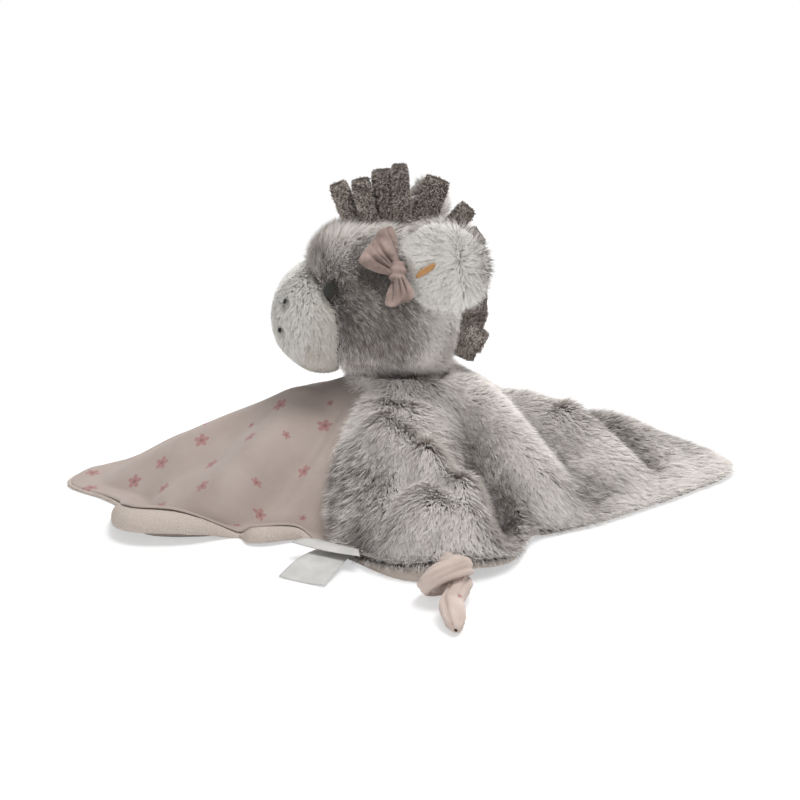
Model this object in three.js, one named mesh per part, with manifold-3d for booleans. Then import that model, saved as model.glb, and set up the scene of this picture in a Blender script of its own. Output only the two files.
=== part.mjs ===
// Comfort blanket with a plush donkey's head: a square two-layer cloth with the head sewn on its middle.
// Millimetres, +Z up. The donkey looks towards -X, and its own right side faces -Y.
// The origin is on the floor, under the middle of the whole toy.

import * as THREE from 'three';
import { mergeVertices } from 'three/addons/utils/BufferGeometryUtils.js';
import Module from 'manifold-3d';

const wasm = await Module();
wasm.setup();

// Blanket: reaches from the neck's axis, heights over the floor, cloth thicknesses
const BLANKET_REACH = 168;
const SADDLE_HEIGHT = 52;
const NAPE_RISE = 7;
const COLLAR_SIDE_RISE = 8.3;
const COLLAR_FRONT_RISE = 2;
const COLLAR_SHARE = 0.16;
const NECK_HOLE_RADIUS = 23;
const FOLD_HEIGHT = 10;
const HEM_LIFT = 15;
const VELOUR_THICKNESS = 1.6;
const PRINT_THICKNESS = 0.9;
const PLUSH_THICKNESS = 2.4;
const FLOOR_CUT = 0.5;
const CLEARANCE = 0.3;

// Head: the stuffed ball, the white muzzle on its front and the neck that joins it to the cloth
const HEAD_HALF_LENGTH = 36;
const HEAD_HALF_WIDTH = 34;
const HEAD_HALF_HEIGHT = 36;
const HEAD_CENTRE_HEIGHT = 98;
const HEAD_FORWARD = 8;
const HEAD_FULLNESS = 3.5;
const COVER_THICKNESS = 2.2;
const MUZZLE_HALF_LENGTH = 22.5;
const MUZZLE_HALF_WIDTH = 27;
const MUZZLE_HALF_HEIGHT = 26.5;
const MUZZLE_FORWARD = 37;
const MUZZLE_CENTRE_HEIGHT = 88.5;
const NECK_RADIUS = 20.5;
const NECK_WAIST_RADIUS = 19.3;
const NECK_SEAM_HEIGHT = 11.2;
const NECK_WAIST_RISE = 1.8;
const NECK_PIVOT_RISE = 4;
const NECK_PIVOT_HEIGHT = HEAD_CENTRE_HEIGHT - HEAD_HALF_HEIGHT + NECK_PIVOT_RISE;
const NECK_TUCK = 6;
const NECK_SOCKET_CLEARANCE = 0.4;

// Face: embroidered eyes, nostrils and mouth ends
const EYE_WIDTH = 5.6;
const EYE_HEIGHT = 7;
const EYE_THICKNESS = 1.4;
const EYE_PLACE_SHARES = [-0.68, 0.3];
const STITCH_LENGTH = 2.6;
const STITCH_THICKNESS = 1;
const NOSTRIL_PLACE_SHARES = [-0.69, 0.42];
const MOUTH_PLACE_SHARES = [-0.8, -0.08];

// Ears: two panels each, sewn along a short seam on the head
const EAR_LENGTH = 38;
const EAR_WIDTH = 40;
const EAR_FRONT_THICKNESS = 5.5;
const EAR_BACK_THICKNESS = 3;
const EAR_CROWN_POWER = 1.4;
const EAR_SEAM_SHARE = 0.08;
const EAR_ROOT_SHARES = [0.345, 0.61];
const EAR_NEAR_DIRECTION_SHARES = [0.92, 0.36, 0.16];
const EAR_FAR_DIRECTION_SHARES = [0.45, 0.85, 0.28];
const THREAD_LENGTH = 10;
const THREAD_THICKNESS = 1.2;
const THREAD_START_SHARE = 0.12;
const THREAD_RISE_SHARE = 0.3;

// Bow: a knot and two loops of cotton at the near ear
const BOW_KNOT_WIDTH = 8;
const BOW_KNOT_HEIGHT = 10;
const BOW_KNOT_THICKNESS = 6.5;
const BOW_UPPER_LENGTH = 18;
const BOW_UPPER_WIDTH = 21;
const BOW_LOWER_LENGTH = 17;
const BOW_LOWER_WIDTH = 11;
const BOW_LOOP_THICKNESS = 4;
const BOW_LOWER_STANDOFF = 8;
const BOW_PLACE_SHARES = [0.19, 0.52];
const BOW_UPPER_TURN = 132;
const BOW_LOWER_TURN = -76;
const BOW_TUCK_SHARE = 0.2;

// Mane: doubled strips of terry, sewn into the seam over the head
const MANE_LENGTH = 21;
const MANE_WIDTH = 8.5;
const MANE_THICKNESS = 3;
const MANE_STAGGER = 1.8;

// Knotted tails of printed cotton at the two side corners
const TAIL_LENGTH = 62;
const TAIL_KNOT_RADIUS = 12;
const TAIL_NEAR_CORNER_SHARES = [0.13, -0.739];
const TAIL_FAR_CORNER_SHARES = [0.13, 0.736];
const TAIL_WRAP_SHARE = 0.3;
const TAIL_WRAP_TURN = 28;

// Labels sewn into the hem by the near boundary of the print
const LABEL_WIDTH = 24;
const LABEL_LENGTH = 36;
const LABEL_THICKNESS = 0.8;
const LABEL_SEAM_ANGLE = -106;
const LABEL_SEAM_SPAN = 10;
const LABEL_ANGLE = -118;
const LABEL_ROOT_WIDTH = 17;
const LABEL_ROOT_HEIGHT = 2.8;
const LABEL_HEM_GAP = 0.9;
const LABEL_RISE = 2.5;
const TAB_LENGTH = 36;
const TAB_DEPTH = 14;
const TAB_RISE = 4;

// Finest distance at which two corners count as one, and how finely round forms are divided
const MERGE_DISTANCE = 0.0001;
const HEAD_AROUND = 28;
const HEAD_DOWN = 16;
const MUZZLE_AROUND = 20;
const MUZZLE_DOWN = 12;
const NECK_STEPS = 5;
const SEWN_SIDES = 12;
const KNOT_SIDES = 10;
const STRIP_SIDES = 8;
const THREAD_SIDES = 6;
const WRAP_SIDES = 7;
const WRAP_STEPS = 14;

// The colours of the photographed cloths
const COLOURS = {
  print: 0xe6d6cf,
  plush: 0xa9a5a1,
  velour: 0xe2d8cf,
  white: 0xe8e6e2,
  terry: 0x8b817c,
  bow: 0xc9b3ab,
  knot: 0xdccac3,
  satin: 0xe9e7e4,
  filling: 0xf4f3f0,
  thread: 0x33363a,
  orange: 0xe0a060,
};

const toy = new THREE.Group();

// Adds one named piece with its own material
function addPiece(name, geometry, colour, roughness = 0.95) {
  const material = new THREE.MeshStandardMaterial({ color: colour, roughness, metalness: 0 });
  const mesh = new THREE.Mesh(geometry, material);
  mesh.name = name;
  toy.add(mesh);
  return mesh;
}

// Booleans work on meshes whose shared corners are merged
function solidOf(geometry) {
  const bare = geometry.clone();
  bare.deleteAttribute('normal');
  bare.deleteAttribute('uv');
  const merged = mergeVertices(bare, MERGE_DISTANCE);
  const vertProperties = new Float32Array(merged.attributes.position.array);
  const triVerts = new Uint32Array(merged.index.array);
  return new wasm.Manifold(new wasm.Mesh({ numProp: 3, vertProperties, triVerts }));
}

function geometryOf(solid) {
  const mesh = solid.getMesh();
  const geometry = new THREE.BufferGeometry();
  geometry.setAttribute('position', new THREE.BufferAttribute(new Float32Array(mesh.vertProperties), 3));
  geometry.setIndex(new THREE.BufferAttribute(new Uint32Array(mesh.triVerts), 1));
  return geometry;
}

function indexedGeometry(points, faces) {
  const geometry = new THREE.BufferGeometry();
  geometry.setAttribute('position', new THREE.Float32BufferAttribute(points.flat(), 3));
  geometry.setIndex(faces.flat());
  return geometry;
}

// Two triangles for each four-sided face, given anticlockwise from outside
function quad(faces, a, b, c, d) {
  faces.push([a, b, c]);
  faces.push([a, c, d]);
}

// Turns a closed geometry the right way out, by the sign of its volume
function facingOut(geometry) {
  const index = geometry.index.array;
  const places = geometry.attributes.position;
  const [a, b, c] = [new THREE.Vector3(), new THREE.Vector3(), new THREE.Vector3()];
  let volume = 0;
  for (let i = 0; i < index.length; i += 3) {
    a.fromBufferAttribute(places, index[i]);
    b.fromBufferAttribute(places, index[i + 1]);
    c.fromBufferAttribute(places, index[i + 2]);
    volume += a.dot(b.cross(c));
  }
  for (let i = 0; volume < 0 && i < index.length; i += 3) {
    [index[i], index[i + 1]] = [index[i + 1], index[i]];
  }
  return geometry;
}

// Section 1: the draped blanket

// Spokes round the neck: angle in degrees, then hem reach, drop power and hem lift as shares
const spokeShares = [
  [-179, 0.982, 1.5, 0.02], [-172, 0.875, 1.5, 0.02], [-166, 0.83, 1.4, 0.3], [-159, 0.855, 1.3, 0.8],
  [-150, 0.865, 1.25, 1], [-144, 0.76, 1.2, 0.7], [-138, 0.625, 1.2, 0], [-131, 0.615, 1.2, 0.45],
  [-123, 0.53, 1.15, 0.4], [-114, 0.545, 1.15, 0], [-103, 0.6, 1.15, 0.05], [-90, 0.715, 1, 0.25],
  [-80, 0.75, 1, 0.5], [-68, 0.725, 1, 0.3], [-59, 0.63, 1.2, 0], [-51, 0.575, 1.2, 0.2],
  [-43, 0.58, 1.1, 0], [-28, 0.655, 1.1, 0], [-16, 0.735, 1.1, 0], [-4, 0.87, 1.1, 0.02],
  [5, 0.998, 1.1, 0.15], [12, 0.95, 1.1, 0.05], [24, 0.795, 1.1, 0], [38, 0.69, 1.15, 0.25],
  [52, 0.65, 1.15, 0.35], [66, 0.68, 1.1, 0.05], [80, 0.745, 1, 0.45], [92, 0.71, 1, 0.3],
  [108, 0.62, 1.15, 0], [122, 0.585, 1.2, 0.4], [136, 0.62, 1.2, 0], [152, 0.715, 1.3, 0.6],
  [166, 0.84, 1.4, 0.05], [174, 0.945, 1.5, 0.02],
];

// Folds over the cloth: start x, start y, end x, end y and half width as shares of the reach, then height
const foldShares = [
  [0.0, -0.17, 0.08, -0.62, 0.13, 1.0],
  [-0.16, -0.2, -0.05, -0.6, 0.09, 0.35],
  [0.15, -0.1, 0.3, -0.56, 0.075, -1.35],
  [0.2, -0.06, 0.43, -0.33, 0.07, 1.0],
  [0.3, -0.02, 0.56, -0.27, 0.06, -0.45],
  [0.5, -0.02, 0.7, -0.16, 0.065, 0.75],
  [0.47, 0.14, 0.72, -0.06, 0.05, -0.7],
  [0.62, 0.16, 0.82, -0.04, 0.055, 0.55],
  [-0.3, -0.06, -0.48, -0.34, 0.09, 0.55],
  [-0.2, -0.16, -0.33, -0.33, 0.08, -0.45],
  [-0.62, -0.04, -0.72, -0.28, 0.07, 0.25],
  [0.02, 0.18, 0.09, 0.6, 0.12, 0.9],
  [0.2, 0.12, 0.4, 0.42, 0.09, -0.8],
  [0.3, 0.08, 0.62, 0.28, 0.08, -0.3],
  [-0.14, 0.2, -0.2, 0.5, 0.08, -0.5],
  [-0.28, 0.1, -0.5, 0.36, 0.1, 0.2],
];

// The cloth lands on the floor at one share of its rings, and its lip rises from another
const LANDING_SHARE = 0.9;
const LIP_START_SHARE = 0.92;

// Where the print ends and the plush begins, in degrees at each ring from neck to hem
const ringShares = [0, 0.14, 0.28, 0.42, 0.56, 0.68, 0.79, 0.88, 0.95, 1];
const boundaryAngles = [-112, -117, -120, -120.5, -119, -116.5, -113, -109, -105, -102];
const PRINT_CELLS = 24;
const PLUSH_CELLS = 36;

const radians = THREE.MathUtils.degToRad;

// Smooth closed curve through the spokes, for one column of the table
function spokeValue(angle, column) {
  const count = spokeShares.length;
  const turned = THREE.MathUtils.euclideanModulo(angle + 179, 360) - 179;
  let k = 0;
  while (k + 1 < count && spokeShares[k + 1][0] <= turned) {
    k += 1;
  }
  const spoke = (i) => {
    const whole = Math.floor(i / count);
    const row = spokeShares[i - whole * count];
    return [row[0] + 360 * whole, row[column]];
  };
  const [a0, v0] = spoke(k - 1);
  const [a1, v1] = spoke(k);
  const [a2, v2] = spoke(k + 1);
  const [a3, v3] = spoke(k + 2);
  const t = (turned - a1) / (a2 - a1);
  const slopeIn = ((v2 - v0) / (a2 - a0)) * (a2 - a1);
  const slopeOut = ((v3 - v1) / (a3 - a1)) * (a2 - a1);
  const t2 = t * t;
  const t3 = t2 * t;
  return (2 * t3 - 3 * t2 + 1) * v1 + (t3 - 2 * t2 + t) * slopeIn
    + (3 * t2 - 2 * t3) * v2 + (t3 - t2) * slopeOut;
}

// Height that the folds add at a place, fading out at the neck and at the hem
function foldRise(x, y, ringShare) {
  let rise = 0;
  for (const [x0, y0, x1, y1, halfWidth, height] of foldShares) {
    const along = new THREE.Vector2(x1 - x0, y1 - y0);
    const from = new THREE.Vector2(x / BLANKET_REACH - x0, y / BLANKET_REACH - y0);
    const length = along.length();
    const t = from.dot(along) / (length * length);
    const off = Math.abs(from.cross(along)) / length;
    const past = Math.max(0, -t, t - 1) * length;
    rise += height * Math.exp(-(off * off + 2 * past * past) / (halfWidth * halfWidth));
  }
  const grows = THREE.MathUtils.smoothstep(ringShare, 0, 0.2);
  const fades = 1 - THREE.MathUtils.smoothstep(ringShare, 0.8, 1);
  return rise * grows * fades * FOLD_HEIGHT;
}

// The cloth's underside at an angle and a share of the way from neck to hem
function clothPoint(angle, ringShare) {
  const hem = spokeValue(angle, 1) * BLANKET_REACH;
  const power = spokeValue(angle, 2);
  const lift = spokeValue(angle, 3) * HEM_LIFT;
  const radius = NECK_HOLE_RADIUS + ringShare * (hem - NECK_HOLE_RADIUS);
  const x = radius * Math.cos(radians(angle));
  const y = radius * Math.sin(radians(angle));
  const drop = 1 - Math.pow(ringShare / LANDING_SHARE, power);
  const away = Math.cos(radians(angle));
  const nape = NAPE_RISE * Math.pow(Math.max(0, away), 2);
  const body = (SADDLE_HEIGHT + nape) * Math.max(0, drop) - FLOOR_CUT;
  const lip = lift * THREE.MathUtils.smoothstep(ringShare, LIP_START_SHARE, 1);
  const sideways = Math.pow(1 - away * away, 2);
  const gathered = COLLAR_SIDE_RISE * sideways + COLLAR_FRONT_RISE * Math.pow(Math.max(0, -away), 2);
  const collar = gathered * (1 - THREE.MathUtils.smoothstep(ringShare, 0, COLLAR_SHARE));
  const z = Math.max(body + foldRise(x, y, ringShare), -FLOOR_CUT) + lip + collar;
  return [x, y, z];
}

// The angle of a grid line: cells 0 to PRINT_CELLS cover the print, the rest the plush
function gridAngle(cell, ring) {
  const near = boundaryAngles[ring];
  if (cell <= PRINT_CELLS) {
    return near - (cell / PRINT_CELLS) * (360 + 2 * near);
  }
  return -360 - near + (-(cell - PRINT_CELLS) / PLUSH_CELLS) * (-2 * near);
}

// A layer of the cloth between two grid lines, lying over what is below it
function clothLayer(firstCell, lastCell, below, thickness, seamGap) {
  const wraps = lastCell - firstCell === PRINT_CELLS + PLUSH_CELLS;
  const columns = wraps ? lastCell - firstCell : lastCell - firstCell + 1;
  const rings = ringShares.length;
  const points = [];
  for (let side = 0; side < 2; side += 1) {
    for (let i = 0; i < columns; i += 1) {
      for (let j = 0; j < rings; j += 1) {
        const angle = gridAngle(firstCell + i, j);
        const [x, y, z] = clothPoint(angle, ringShares[j]);
        const edge = wraps ? 0 : (i === 0 ? -1 : i === columns - 1 ? 1 : 0);
        const shift = edge * seamGap * 0.5;
        const sx = x - shift * Math.sin(radians(angle));
        const sy = y + shift * Math.cos(radians(angle));
        const low = below === 0 ? Math.max(z, 0) : z + below;
        points.push([sx, sy, side === 0 ? low : z + below + thickness]);
      }
    }
  }
  const at = (side, i, j) => (side * columns + (i % columns)) * rings + j;
  const faces = [];
  const spans = wraps ? columns : columns - 1;
  for (let i = 0; i < spans; i += 1) {
    for (let j = 0; j < rings - 1; j += 1) {
      quad(faces, at(1, i, j), at(1, i + 1, j), at(1, i + 1, j + 1), at(1, i, j + 1));
      quad(faces, at(0, i, j), at(0, i, j + 1), at(0, i + 1, j + 1), at(0, i + 1, j));
    }
    quad(faces, at(0, i, 0), at(0, i + 1, 0), at(1, i + 1, 0), at(1, i, 0));
    quad(faces, at(1, i, rings - 1), at(1, i + 1, rings - 1), at(0, i + 1, rings - 1), at(0, i, rings - 1));
  }
  if (!wraps) {
    for (let j = 0; j < rings - 1; j += 1) {
      quad(faces, at(0, 0, j), at(1, 0, j), at(1, 0, j + 1), at(0, 0, j + 1));
      quad(faces, at(0, spans, j + 1), at(1, spans, j + 1), at(1, spans, j), at(0, spans, j));
    }
  }
  return facingOut(indexedGeometry(points, faces));
}

function addBlanket() {
  const allCells = PRINT_CELLS + PLUSH_CELLS;
  const overVelour = VELOUR_THICKNESS + CLEARANCE;
  addPiece('blanket_backing', clothLayer(0, allCells, 0, VELOUR_THICKNESS, 0), COLOURS.velour);
  const print = clothLayer(0, PRINT_CELLS, overVelour, PRINT_THICKNESS, CLEARANCE);
  const plush = clothLayer(PRINT_CELLS, allCells, overVelour, PLUSH_THICKNESS, CLEARANCE);
  addPiece('blanket_print_panel', print, COLOURS.print);
  addPiece('blanket_plush_panel', plush, COLOURS.plush);
}

// Section 2: the head, its muzzle and the neck

const headCentre = new THREE.Vector3(-HEAD_FORWARD, 0, HEAD_CENTRE_HEIGHT);
const headRadii = new THREE.Vector3(HEAD_HALF_LENGTH, HEAD_HALF_WIDTH, HEAD_HALF_HEIGHT);
const muzzleCentre = new THREE.Vector3(-MUZZLE_FORWARD, 0, MUZZLE_CENTRE_HEIGHT);
const muzzleRadii = new THREE.Vector3(MUZZLE_HALF_LENGTH, MUZZLE_HALF_WIDTH, MUZZLE_HALF_HEIGHT);
const neckPivot = new THREE.Vector3(0, 0, NECK_PIVOT_HEIGHT);

// How full a form is in a direction: 1 on its surface, with a squarer side view where the power is above 2
function fullness(x, y, z, radii, power) {
  const side = Math.pow(Math.abs(x / radii.x), power) + Math.pow(Math.abs(z / radii.z), power);
  return Math.sqrt(Math.pow(side, 2 / power) + (y / radii.y) * (y / radii.y));
}

// A rounded closed form, grown or shrunk by a margin
function ball(centre, radii, power, margin, around, down) {
  const grown = radii.clone().addScalar(margin);
  const geometry = new THREE.SphereGeometry(1, around, down);
  geometry.rotateX(radians(90));
  const places = geometry.attributes.position;
  for (let i = 0; i < places.count; i += 1) {
    const direction = new THREE.Vector3().fromBufferAttribute(places, i);
    direction.divideScalar(fullness(direction.x, direction.y, direction.z, grown, power));
    direction.add(centre);
    places.setXYZ(i, direction.x, direction.y, direction.z);
  }
  return solidOf(geometry);
}

function headForm(margin) {
  return ball(headCentre, headRadii, HEAD_FULLNESS, margin, HEAD_AROUND, HEAD_DOWN);
}

function muzzleForm(margin) {
  return ball(muzzleCentre, muzzleRadii, 2, margin, MUZZLE_AROUND, MUZZLE_DOWN);
}

function neckSocket(margin) {
  const radius = NECK_RADIUS + margin;
  return ball(neckPivot, new THREE.Vector3(radius, radius, radius), 2, 0, MUZZLE_AROUND, MUZZLE_DOWN);
}

// The place on the head's side at shares of its half length and half height, and the way out there
function headSurface(lengthShare, heightShare, side) {
  const flat = Math.pow(Math.pow(Math.abs(lengthShare), HEAD_FULLNESS)
    + Math.pow(Math.abs(heightShare), HEAD_FULLNESS), 2 / HEAD_FULLNESS);
  const place = new THREE.Vector3(lengthShare * headRadii.x,
    side * headRadii.y * Math.sqrt(1 - flat), heightShare * headRadii.z);
  return { place: place.clone().add(headCentre), out: outwardFrom(place, headRadii, HEAD_FULLNESS) };
}

function muzzleSurface(lengthShare, heightShare, side) {
  const flat = lengthShare * lengthShare + heightShare * heightShare;
  const place = new THREE.Vector3(lengthShare * muzzleRadii.x,
    side * muzzleRadii.y * Math.sqrt(1 - flat), heightShare * muzzleRadii.z);
  return { place: place.clone().add(muzzleCentre), out: outwardFrom(place, muzzleRadii, 2) };
}

// The outward normal of a form, from how its fullness changes over a small step
function outwardFrom(place, radii, power) {
  const step = radii.x / 1000;
  const value = (dx, dy, dz) => fullness(place.x + dx, place.y + dy, place.z + dz, radii, power);
  const here = value(0, 0, 0);
  const [x, y, z] = [value(step, 0, 0) - here, value(0, step, 0) - here, value(0, 0, step) - here];
  return new THREE.Vector3(x, y, z).normalize();
}

function addHead() {
  const socket = neckSocket(NECK_SOCKET_CLEARANCE);
  const inner = headForm(-COVER_THICKNESS);
  const muzzleInner = muzzleForm(-COVER_THICKNESS);
  const cover = headForm(0).subtract(inner).subtract(muzzleInner).subtract(socket);
  addPiece('head_cover', geometryOf(cover), COLOURS.plush);
  const muzzle = muzzleForm(0).subtract(headForm(CLEARANCE)).subtract(muzzleInner);
  addPiece('muzzle_cover', geometryOf(muzzle), COLOURS.white);
  const fillingBall = headForm(-COVER_THICKNESS - CLEARANCE);
  const filling = fillingBall.add(muzzleForm(-COVER_THICKNESS - CLEARANCE)).subtract(socket);
  addPiece('head_filling', geometryOf(filling), COLOURS.filling);
}

// The stuffed neck: wide where the cloth is sewn round it, a waist, and a round dome in the head's socket
function addNeck() {
  const bottom = SADDLE_HEIGHT - NECK_TUCK;
  const seamRadius = NECK_HOLE_RADIUS - 2 * CLEARANCE;
  const profile = [new THREE.Vector2(0, bottom)];
  profile.push(new THREE.Vector2(seamRadius, bottom));
  profile.push(new THREE.Vector2(seamRadius, bottom + NECK_SEAM_HEIGHT));
  profile.push(new THREE.Vector2(NECK_WAIST_RADIUS, bottom + NECK_SEAM_HEIGHT + NECK_WAIST_RISE));
  profile.push(new THREE.Vector2(NECK_WAIST_RADIUS, NECK_PIVOT_HEIGHT - CLEARANCE));
  for (let k = 0; k <= NECK_STEPS; k += 1) {
    const turn = (k / NECK_STEPS) * (Math.PI / 2);
    const radius = k === NECK_STEPS ? 0 : NECK_RADIUS * Math.cos(turn);
    profile.push(new THREE.Vector2(radius, NECK_PIVOT_HEIGHT + NECK_RADIUS * Math.sin(turn)));
  }
  const neck = new THREE.LatheGeometry(profile, MUZZLE_AROUND);
  neck.rotateX(radians(90));
  addPiece('neck_core', geometryOf(solidOf(facingOut(neck))), COLOURS.plush);
}

// Section 3: small sewn things on the head

// A closed form through stations, each a centre with two half-width directions
function loft(stations, sides, squareness = 2) {
  const points = [];
  for (const { centre, across, through } of stations) {
    for (let k = 0; k < sides; k += 1) {
      const angle = (k / sides) * 2 * Math.PI;
      const c = Math.cos(angle);
      const s = Math.sin(angle);
      const sum = Math.pow(Math.abs(c), squareness) + Math.pow(Math.abs(s), squareness);
      const swell = Math.pow(sum, -1 / squareness);
      const place = centre.clone().addScaledVector(across, c * swell).addScaledVector(through, s * swell);
      points.push(place.toArray());
    }
  }
  const last = stations.length - 1;
  points.push(stations[0].centre.toArray());
  points.push(stations[last].centre.toArray());
  const faces = [];
  for (let i = 0; i < last; i += 1) {
    for (let k = 0; k < sides; k += 1) {
      const next = (k + 1) % sides;
      quad(faces, i * sides + k, i * sides + next, (i + 1) * sides + next, (i + 1) * sides + k);
    }
  }
  const start = points.length - 2;
  for (let k = 0; k < sides; k += 1) {
    const next = (k + 1) % sides;
    faces.push([start, next, k]);
    faces.push([start + 1, last * sides + k, last * sides + next]);
  }
  return facingOut(indexedGeometry(points, faces));
}

// An oval patch of thread: rise through its thickness, then spread of its width
const patchShares = [[0, 0.8], [0.5, 1], [1, 0.45]];

// A raised oval patch of thread on a surface
function addPatch(name, surface, width, height, thickness, colour) {
  const up = new THREE.Vector3(0, 0, 1);
  const across = new THREE.Vector3().crossVectors(up, surface.out).normalize();
  const upward = new THREE.Vector3().crossVectors(surface.out, across);
  const stations = patchShares.map(([rise, spread]) => ({
    centre: surface.place.clone().addScaledVector(surface.out, 2 * CLEARANCE + rise * thickness),
    across: across.clone().multiplyScalar(spread * width / 2),
    through: upward.clone().multiplyScalar(spread * height / 2),
  }));
  addPiece(name, loft(stations, SEWN_SIDES), colour, 0.5);
}

function addFace() {
  for (const [name, side] of [['near', -1], ['far', 1]]) {
    addPatch(`eye_${name}`, headSurface(...EYE_PLACE_SHARES, side),
      EYE_WIDTH, EYE_HEIGHT, EYE_THICKNESS, COLOURS.thread);
    addPatch(`nostril_${name}`, muzzleSurface(...NOSTRIL_PLACE_SHARES, side),
      STITCH_THICKNESS, STITCH_LENGTH, STITCH_THICKNESS, COLOURS.thread);
    addPatch(`mouth_stitch_${name}`, muzzleSurface(...MOUTH_PLACE_SHARES, side),
      STITCH_THICKNESS, STITCH_LENGTH, STITCH_THICKNESS, COLOURS.thread);
  }
}

// The ear's own directions, from its sewn root: along, up its width, and out of its white face
function earFrame(side) {
  const root = headSurface(...EAR_ROOT_SHARES, side);
  const shares = side < 0 ? EAR_NEAR_DIRECTION_SHARES : EAR_FAR_DIRECTION_SHARES;
  const along = new THREE.Vector3(...shares).normalize();
  along.y *= side;
  const up = new THREE.Vector3(0, 0, 1);
  const out = new THREE.Vector3().crossVectors(along, up).multiplyScalar(-side).normalize();
  const width = new THREE.Vector3().crossVectors(out, along).multiplyScalar(-side).normalize();
  const start = root.place.clone().addScaledVector(root.out, CLEARANCE);
  return { start, along, out, width };
}

// Half width of the ear at a share of its length: a circle that is cut off at the seam
function earHalfWidth(share) {
  const along = EAR_SEAM_SHARE + (1 - EAR_SEAM_SHARE) * share;
  return EAR_WIDTH * Math.sqrt(along * (1 - along));
}

// How thick an ear's panel stands at a share of its length
function earCrown(share, thickness) {
  return thickness * Math.pow(2 * earHalfWidth(share) / EAR_WIDTH, EAR_CROWN_POWER);
}

const earShares = [0, 0.08, 0.2, 0.35, 0.5, 0.65, 0.8, 0.92, 0.985];

// One panel of an ear: a crowned pad on one side of the ear's middle plane
function earPanel(frame, thickness, side) {
  const stations = earShares.map((share) => {
    const crown = earCrown(share, thickness);
    const centre = frame.start.clone().addScaledVector(frame.along, share * EAR_LENGTH)
      .addScaledVector(frame.out, side * (CLEARANCE / 2 + crown / 2));
    return {
      centre,
      across: frame.out.clone().multiplyScalar(crown / 2),
      through: frame.width.clone().multiplyScalar(earHalfWidth(share)),
    };
  });
  return loft(stations, SEWN_SIDES);
}

// Cuts a small piece back from the head, so that it lies on the fur cloth
function clearOfHead(geometry, margin) {
  return geometryOf(solidOf(geometry).subtract(headForm(margin)));
}

function addEars() {
  for (const [name, side] of [['near', -1], ['far', 1]]) {
    const frame = earFrame(side);
    const front = earPanel(frame, EAR_FRONT_THICKNESS, 1);
    const back = earPanel(frame, EAR_BACK_THICKNESS, -1);
    addPiece(`ear_${name}_front`, clearOfHead(front, CLEARANCE), COLOURS.white);
    addPiece(`ear_${name}_back`, clearOfHead(back, CLEARANCE), COLOURS.plush);
  }
}

// A short orange stitch of thread on the near ear's white face
function addEarThread() {
  const frame = earFrame(-1);
  const stations = [0, 0.35, 0.7, 1].map((share) => {
    const away = THREAD_START_SHARE * EAR_LENGTH + share * THREAD_LENGTH;
    const crown = earCrown(away / EAR_LENGTH, EAR_FRONT_THICKNESS);
    const centre = frame.start.clone().addScaledVector(frame.along, away)
      .addScaledVector(frame.out, CLEARANCE / 2 + crown + CLEARANCE + THREAD_THICKNESS / 2)
      .addScaledVector(frame.width, (share - 0.5) * THREAD_RISE_SHARE * THREAD_LENGTH);
    const slim = 1 - 0.5 * Math.abs(2 * share - 1);
    return {
      centre,
      across: frame.out.clone().multiplyScalar(slim * THREAD_THICKNESS / 2),
      through: frame.width.clone().multiplyScalar(slim * THREAD_THICKNESS),
    };
  });
  addPiece('ear_near_stitch', loft(stations, THREAD_SIDES), COLOURS.orange, 0.6);
}

// Bow loop stations: share of the length, then width and thickness shares
const loopShares = [[0, 0.36, 0.7], [0.3, 0.62, 1], [0.65, 0.86, 0.95], [0.92, 1, 0.6], [1, 0.96, 0.2]];

// Bow knot stations: share of the half height, then size share
const knotShares = [[-1, 0.55], [-0.6, 0.95], [0, 1], [0.6, 0.95], [1, 0.55]];

// A bow loop: a folded band that widens from the knot and ends in its fold
function bowLoop(start, end, spread, out, width) {
  const across = spread.clone().normalize();
  const stations = loopShares.map(([share, wide, thick]) => ({
    centre: start.clone().lerp(end, share),
    across: across.clone().multiplyScalar(wide * width / 2),
    through: out.clone().multiplyScalar(thick * BOW_LOOP_THICKNESS / 2),
  }));
  return loft(stations, SEWN_SIDES, 3);
}

// The bow's knot, grown by a margin on all sides
function bowKnot(middle, right, up, out, margin) {
  return loft(knotShares.map(([rise, size]) => ({
    centre: middle.clone().addScaledVector(up, rise * (BOW_KNOT_HEIGHT / 2 + margin)),
    across: right.clone().multiplyScalar(size * BOW_KNOT_WIDTH / 2 + margin),
    through: out.clone().multiplyScalar(size * BOW_KNOT_THICKNESS / 2 + margin),
  })), KNOT_SIDES);
}

function addBow() {
  const seat = headSurface(...BOW_PLACE_SHARES, -1);
  const out = seat.out;
  const level = new THREE.Vector3(1, 0, 0);
  const right = level.clone().addScaledVector(out, -level.dot(out)).normalize();
  const up = new THREE.Vector3().crossVectors(out, right).normalize();
  const middle = seat.place.clone().addScaledVector(out, CLEARANCE + BOW_KNOT_THICKNESS / 2);
  addPiece('bow_knot', clearOfHead(bowKnot(middle, right, up, out, 0), CLEARANCE), COLOURS.bow);
  const loops = [['upper', BOW_UPPER_TURN, BOW_UPPER_LENGTH, BOW_UPPER_WIDTH, 0],
    ['lower', BOW_LOWER_TURN, BOW_LOWER_LENGTH, BOW_LOWER_WIDTH, BOW_LOWER_STANDOFF]];
  const knotRoom = solidOf(bowKnot(middle, right, up, out, CLEARANCE));
  for (const [name, turn, length, width, standoff] of loops) {
    const way = right.clone().multiplyScalar(Math.cos(radians(turn)))
      .addScaledVector(up, Math.sin(radians(turn)));
    const spread = new THREE.Vector3().crossVectors(out, way);
    const start = middle.clone().addScaledVector(way, BOW_TUCK_SHARE * BOW_KNOT_WIDTH);
    const end = middle.clone().addScaledVector(way, length).addScaledVector(out, standoff);
    const loop = solidOf(bowLoop(start, end, spread, out, width));
    const clear = loop.subtract(knotRoom).subtract(headForm(2 * CLEARANCE));
    addPiece(`bow_${name}_loop`, geometryOf(clear), COLOURS.bow);
  }
}

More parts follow.
